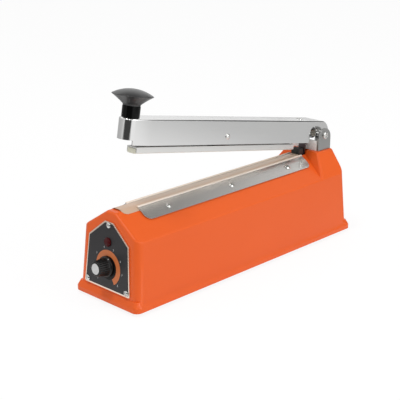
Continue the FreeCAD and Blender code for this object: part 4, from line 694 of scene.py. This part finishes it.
def trimNose(arm):
    # the underside of the nose is cut higher, and on the far wall from further back
    n = noseSet
    outline = [(-n["half"], n["far"]), (-n["half"], n["beyond"]), (n["half"], n["beyond"]),
               (n["half"], n["near"]), (0.0, n["near"]), (0.0, n["far"])]
    sides = len(outline)
    points = np.array([(x, -along, height) for height in (n["below"], n["under"]) for x, along in outline])
    faces = gridFaces(2, sides, ring=True) + [list(range(sides - 1, -1, -1)), list(range(sides, 2 * sides))]
    cutter = bpy.data.objects.new("noseCutter", bpy.data.meshes.new("noseCutter"))
    cutter.data.from_pydata(onAxis(points, armAxis(0.0, 0.0)).tolist(), [], faces)
    bpy.context.collection.objects.link(cutter)
    later = list(arm.modifiers)
    cut = arm.modifiers.new("cut", "BOOLEAN")
    cut.operation, cut.solver, cut.object = "DIFFERENCE", "EXACT", cutter
    for way in later:
        way.show_viewport = False
    shape = evaluatedMesh(arm)
    arm.modifiers.remove(cut)
    for way in later:
        way.show_viewport = True
    shape.shade_smooth()
    arm.data = shape
    bpy.data.objects.remove(cutter)


makeHandle()
print("handle made")


def clothLine():
    # the cloth's line across the bed: flat over the wire, down the bed's edges, along both
    # flanks to under the cover strips
    c = clothSet
    slope = radians(c["slope"])
    lift = c["lift"] + c["thick"] / 2
    top = c["bedTop"] + c["rise"] + c["thick"] / 2
    half = [(0.0, top), (c["tapeEdge"], top),
            (c["bedEdge"] + c["edgeGap"], c["bedTop"] + c["shoulder"] + c["thick"] / 2)]
    for along in (0.0, c["drop"]):
        half.append((c["ridgeHalf"] + along * cos(slope) + lift * sin(slope),
                     c["ridgeTop"] - along * sin(slope) + lift * cos(slope)))
    return np.array(eased([(-x, z) for x, z in half[:0:-1]] + half[1:], c["corner"], 4))


def makeCloth():
    # the same line is carried from end to end and shortened at the front by the curved tabs
    c = clothSet
    line = clothLine()
    reach = np.concatenate([[0.0], np.cumsum(np.linalg.norm(np.diff(line, axis=0), axis=1))])
    width, length = reach[-1], c["rear"] - c["front"]
    across = np.linspace(0, width, c["cols"])
    x, z = np.interp(across, reach, line[:, 0]), np.interp(across, reach, line[:, 1])
    along = np.linspace(0, 1, c["rows"])[:, None]
    aside = np.abs(across - width / 2)
    start = c["front"] + np.interp(aside, np.array(c["tabAt"]) * width, c["tabBack"])
    y = start[None, :] + (c["rear"] - start)[None, :] * along
    middle = (np.abs(x) < c["rippleHalf"])[None, :]
    ripple = np.sin(y * c["rippleAlong"] + 1.0) * np.cos((x / c["rippleAcross"])[None, :]) * middle
    grid = np.stack([np.broadcast_to(x, y.shape), y, z[None, :] + c["ripple"] * ripple], axis=-1)
    mesh = bpy.data.meshes.new("sealingCloth")
    mesh.from_pydata((grid.reshape(-1, 3) * mm).tolist(), [], gridFaces(c["rows"], c["cols"]))
    uv = mesh.uv_layers.new(name="threads")
    corner = np.zeros(len(mesh.loops), dtype=int)
    mesh.loops.foreach_get("vertex_index", corner)
    own = np.stack([np.broadcast_to(across * mm, y.shape), (y - c["front"]) * mm], axis=-1)
    uv.data.foreach_set("uv", own.reshape(-1, 2)[corner].ravel())
    cloth = finished("sealingCloth", mesh, "base", "cloth", ("ptfe_cloth",),
                     smooth=None)
    solid = cloth.modifiers.new("thickness", "SOLIDIFY")
    solid.thickness, solid.offset = c["drawn"] * mm, 0.0
    print("cloth cut %.1f by %.1f mm" % (width, length))


makeCloth()

easedParts = {
    # node: finish, how far its hard edges are eased in mm, and from what angle they count as hard
    "housing": ("orange", 0.6),
    "base_plate": ("basePlate", 0.2),
    "arm_channel": ("arm", 0.18, 55.0),
    "pressure_bar": ("bar", 0.2),
    "silicone_strip": ("silicone", 0.15),
    "cover_strip_right": ("strip", 0.22),
    "cover_strip_left": ("strip", 0.22),
    "strip_screws": ("screw", 0.12),
    "hinge_bracket": ("bracket", 0.25, 40.0),
    "bracket_screws": ("screw", 0.12),
    "pivot_pin": ("screw", 0.15),
    "pivot_nut": ("screw", 0.15),
    "pivot_spacers": ("screw", 0.1),
    "striker": ("striker", 0.2),
    "striker_rivets": ("screw", 0.1),
    "rocker_screw": ("screw", 0.1),
    "rocker_nut": ("screw", 0.12),
    "rocker_lug": ("striker", 0.15),
    "front_panel": ("panel", 0.12),
    "panel_overlay": ("film", 0.06),
    "panel_screws": ("screw", 0.1),
    "sealing_bed": ("phenolic", 0.1),
    "element_terminals": ("brass", 0.12),
    "terminal_screws": ("screw", 0.08),
    "terminal_cover": ("blackCase", 0.15),
    "switch_body": ("blackCase", 0.2),
    "switch_bracket": ("bracket", 0.12),
    "rubber_feet": ("rubber", 0.3),
    "cord_grommet": ("rubber", 0.25),
    "timer_nut": ("screw", 0.12),
}
plainParts = {
    # node: finish; these keep the node's own mesh
    "base_screws": "screw", "transformer_core": "lamination", "transformer_bobbin": "nylon",
    "primary_winding": "copper", "secondary_winding": "copper", "transformer_strap": "bracket",
    "transformer_screws": "screw", "insulation_tape": "tape", "heating_element": "nichrome",
    "spring_sleeve": "nylon", "lamp_holder": "blackCase", "timer_body": "blackCase",
    "circuit_board": "board", "board_relay": "component", "board_capacitor": "component",
    "board_triac": "blackCase", "switch_screws": "screw", "switch_bracket_screws": "screw",
    "rocker_spacers": "screw", "handle_washer": "screw", "handle_screw": "screw",
    "return_spring": "spring", "timer_shaft": "brass", "switch_plunger": "nylon",
}
for node, (finish, *ways) in easedParts.items():
    made = polished(node, finish, *ways)
    if node == "arm_channel":
        trimNose(made)
for node, finish in plainParts.items():
    for place in frame["nodes"][node].material_slots:
        place.material = finishes[finish].material
print("eased parts:", len(easedParts), "plain parts:", len(plainParts))

studioSet = {
    "world": 0.62,
    # brightness of the sky in reflections: low and high edge, then the brightness at each
    "overhead": (0.63, 0.77, 1.1, 0.31),
    # a dark patch behind, how deep it is and its edges: part of the direction, first, last, and
    # whether it starts (0 to 1) or ends (1 to 0) there
    "patch": 0.90,
    "patchEdges": (("x", -0.45, -0.28, 0.0, 1.0), ("y", 0.5, 0.72, 0.0, 1.0), ("x", 0.60, 0.72, 1.0, 0.0),
                   ("z", 0.03, 0.12, 0.0, 1.0), ("z", 0.50, 0.62, 1.0, 0.0)),
    # darker wedges before the sealer and on its left, as seen from the handle's foot: direction,
    # edges as cosines, and depth; they start at a length in the sky and on the floor
    "wedgeFoot": (0.0, -0.12),
    "wedges": (((0.478, -0.878), 0.74, 0.87, 0.95), ((-0.93, -0.37), 0.30, 0.85, 0.48)),
    "wedgeSky": (0.86, 0.96), "wedgeFloor": (0.12, 0.22),
    # brightness of the floor in reflections, falling off behind
    "behind": (0.15, 0.42, 1.0, 0.60),
    "floorSize": 12.0, "floorTone": 0.9, "floorShare": 0.86, "floorGlow": 1.03,
    "lampAim": (0, 0, 0.08),
    "lamps": (
        # name, place, size, watts
        ("keyLamp", (-0.1, -0.6, 1.85), 0.4, 9.0),
        ("sideLamp", (1.5, 0.35, 0.95), 1.1, 8.5),
        ("edgeLamp", (1.15, -1.15, 1.0), 0.25, 1.6),
    ),
}


def wedged(network, x, y, near, far):
    # the brightness that is left in the horizontal way (x, y), once it is longer than near to far
    least = 0.0001
    length = network.maths("MAXIMUM", network.maths("SQRT", x * x + y * y, 0.0), least)
    reach = network.ease(length, near, far, 0.0, 1.0)
    left = 1.0
    for (wayX, wayY), first, last, depth in studioSet["wedges"]:
        share = network.maths("DIVIDE", x * wayX + y * wayY, length)
        left = left * (1.0 - reach * network.ease(share, first, last, 0.0, depth))
    return left


def makeWorld():
    # an even light for the surfaces, a sky with darker parts for their reflections, and plain
    # white for the camera
    s = studioSet
    world = bpy.data.worlds.new("studio")
    bpy.context.scene.world = world
    world.use_nodes = True
    sky = Network(world.node_tree)
    x = sky.split(sky.node("ShaderNodeTexCoord", out="Generated"))
    way = {"x": x, "y": x.out("Y"), "z": x.out("Z")}
    patch = 1.0
    for part, *edge in s["patchEdges"]:
        patch = patch * sky.ease(way[part], *edge)
    bright = (sky.ease(way["z"], *s["overhead"]) * (1.0 - patch * s["patch"])
              * wedged(sky, way["x"], way["y"], *s["wedgeSky"]))
    ray = sky.node("ShaderNodeLightPath", out="Is Camera Ray")
    seen = sky.maths("MAXIMUM", ray, ray.out("Is Transmission Ray"))
    glossy = ray.out("Is Glossy Ray")
    strength = seen + (1.0 - seen) * (glossy * bright + (1.0 - glossy) * s["world"])
    ground = sky.tree.nodes["Background"]
    ground.inputs["Color"].default_value = (1.0, 1.0, 1.0, 1.0)
    sky.feed(ground.inputs["Strength"], strength)


def makeFloor():
    # a plain pale floor; the camera sees it white, with a share of its lit surface left in so
    # that the shadow shows, and reflections see it darker behind and before the sealer
    s = studioSet
    half = s["floorSize"] / 2
    mesh = bpy.data.meshes.new("floor")
    mesh.from_pydata([(-half, -half, 0), (half, -half, 0), (half, half, 0), (-half, half, 0)], [],
                     [(0, 1, 2, 3)])
    floor = bpy.data.objects.new("floor", mesh)
    bpy.context.collection.objects.link(floor)
    made = Finish("paleFloor", Base_Color=grey(s["floorTone"]), Roughness=0.9)
    x = made.split(made.place())
    y = x.out("Y")
    footX, footY = s["wedgeFoot"]
    bright = made.ease(y, *s["behind"]) * wedged(made, x - footX, y - footY, *s["wedgeFloor"])
    ray = made.node("ShaderNodeLightPath", out="Is Camera Ray")
    glossy = ray.out("Is Glossy Ray")
    seen = made.maths("MAXIMUM", made.maths("MAXIMUM", ray, glossy), ray.out("Is Transmission Ray"))
    glow = made.node("ShaderNodeEmission", inputs={
        "Color": (1.0, 1.0, 1.0), "Strength": s["floorGlow"] - glossy * (s["floorGlow"] - bright)})
    share = seen * (s["floorShare"] + glossy * (1.0 - s["floorShare"]))
    blend = made.node("ShaderNodeMixShader", inputs={0: share, 2: glow})
    made.tree.links.new(made.shader.outputs[0], blend.socket.node.inputs[1])
    made.tree.links.new(blend.socket, made.tree.nodes["Material Output"].inputs[0])
    mesh.materials.append(made.material)


def makeLamps():
    # disc lamps that all look at the sealer's middle
    for name, place, size, watts in studioSet["lamps"]:
        data = bpy.data.lights.new(name, "AREA")
        data.shape, data.size, data.energy = "DISK", size, watts
        lamp = bpy.data.objects.new(name, data)
        aim = (Vector(studioSet["lampAim"]) - Vector(place)).to_track_quat("-Z", "Y")
        lamp.matrix_world = Matrix.Translation(place) @ aim.to_matrix().to_4x4()
        bpy.context.collection.objects.link(lamp)


makeWorld()
makeFloor()
makeLamps()
bpy.context.scene.view_settings.view_transform = "Standard"
print("studio made")
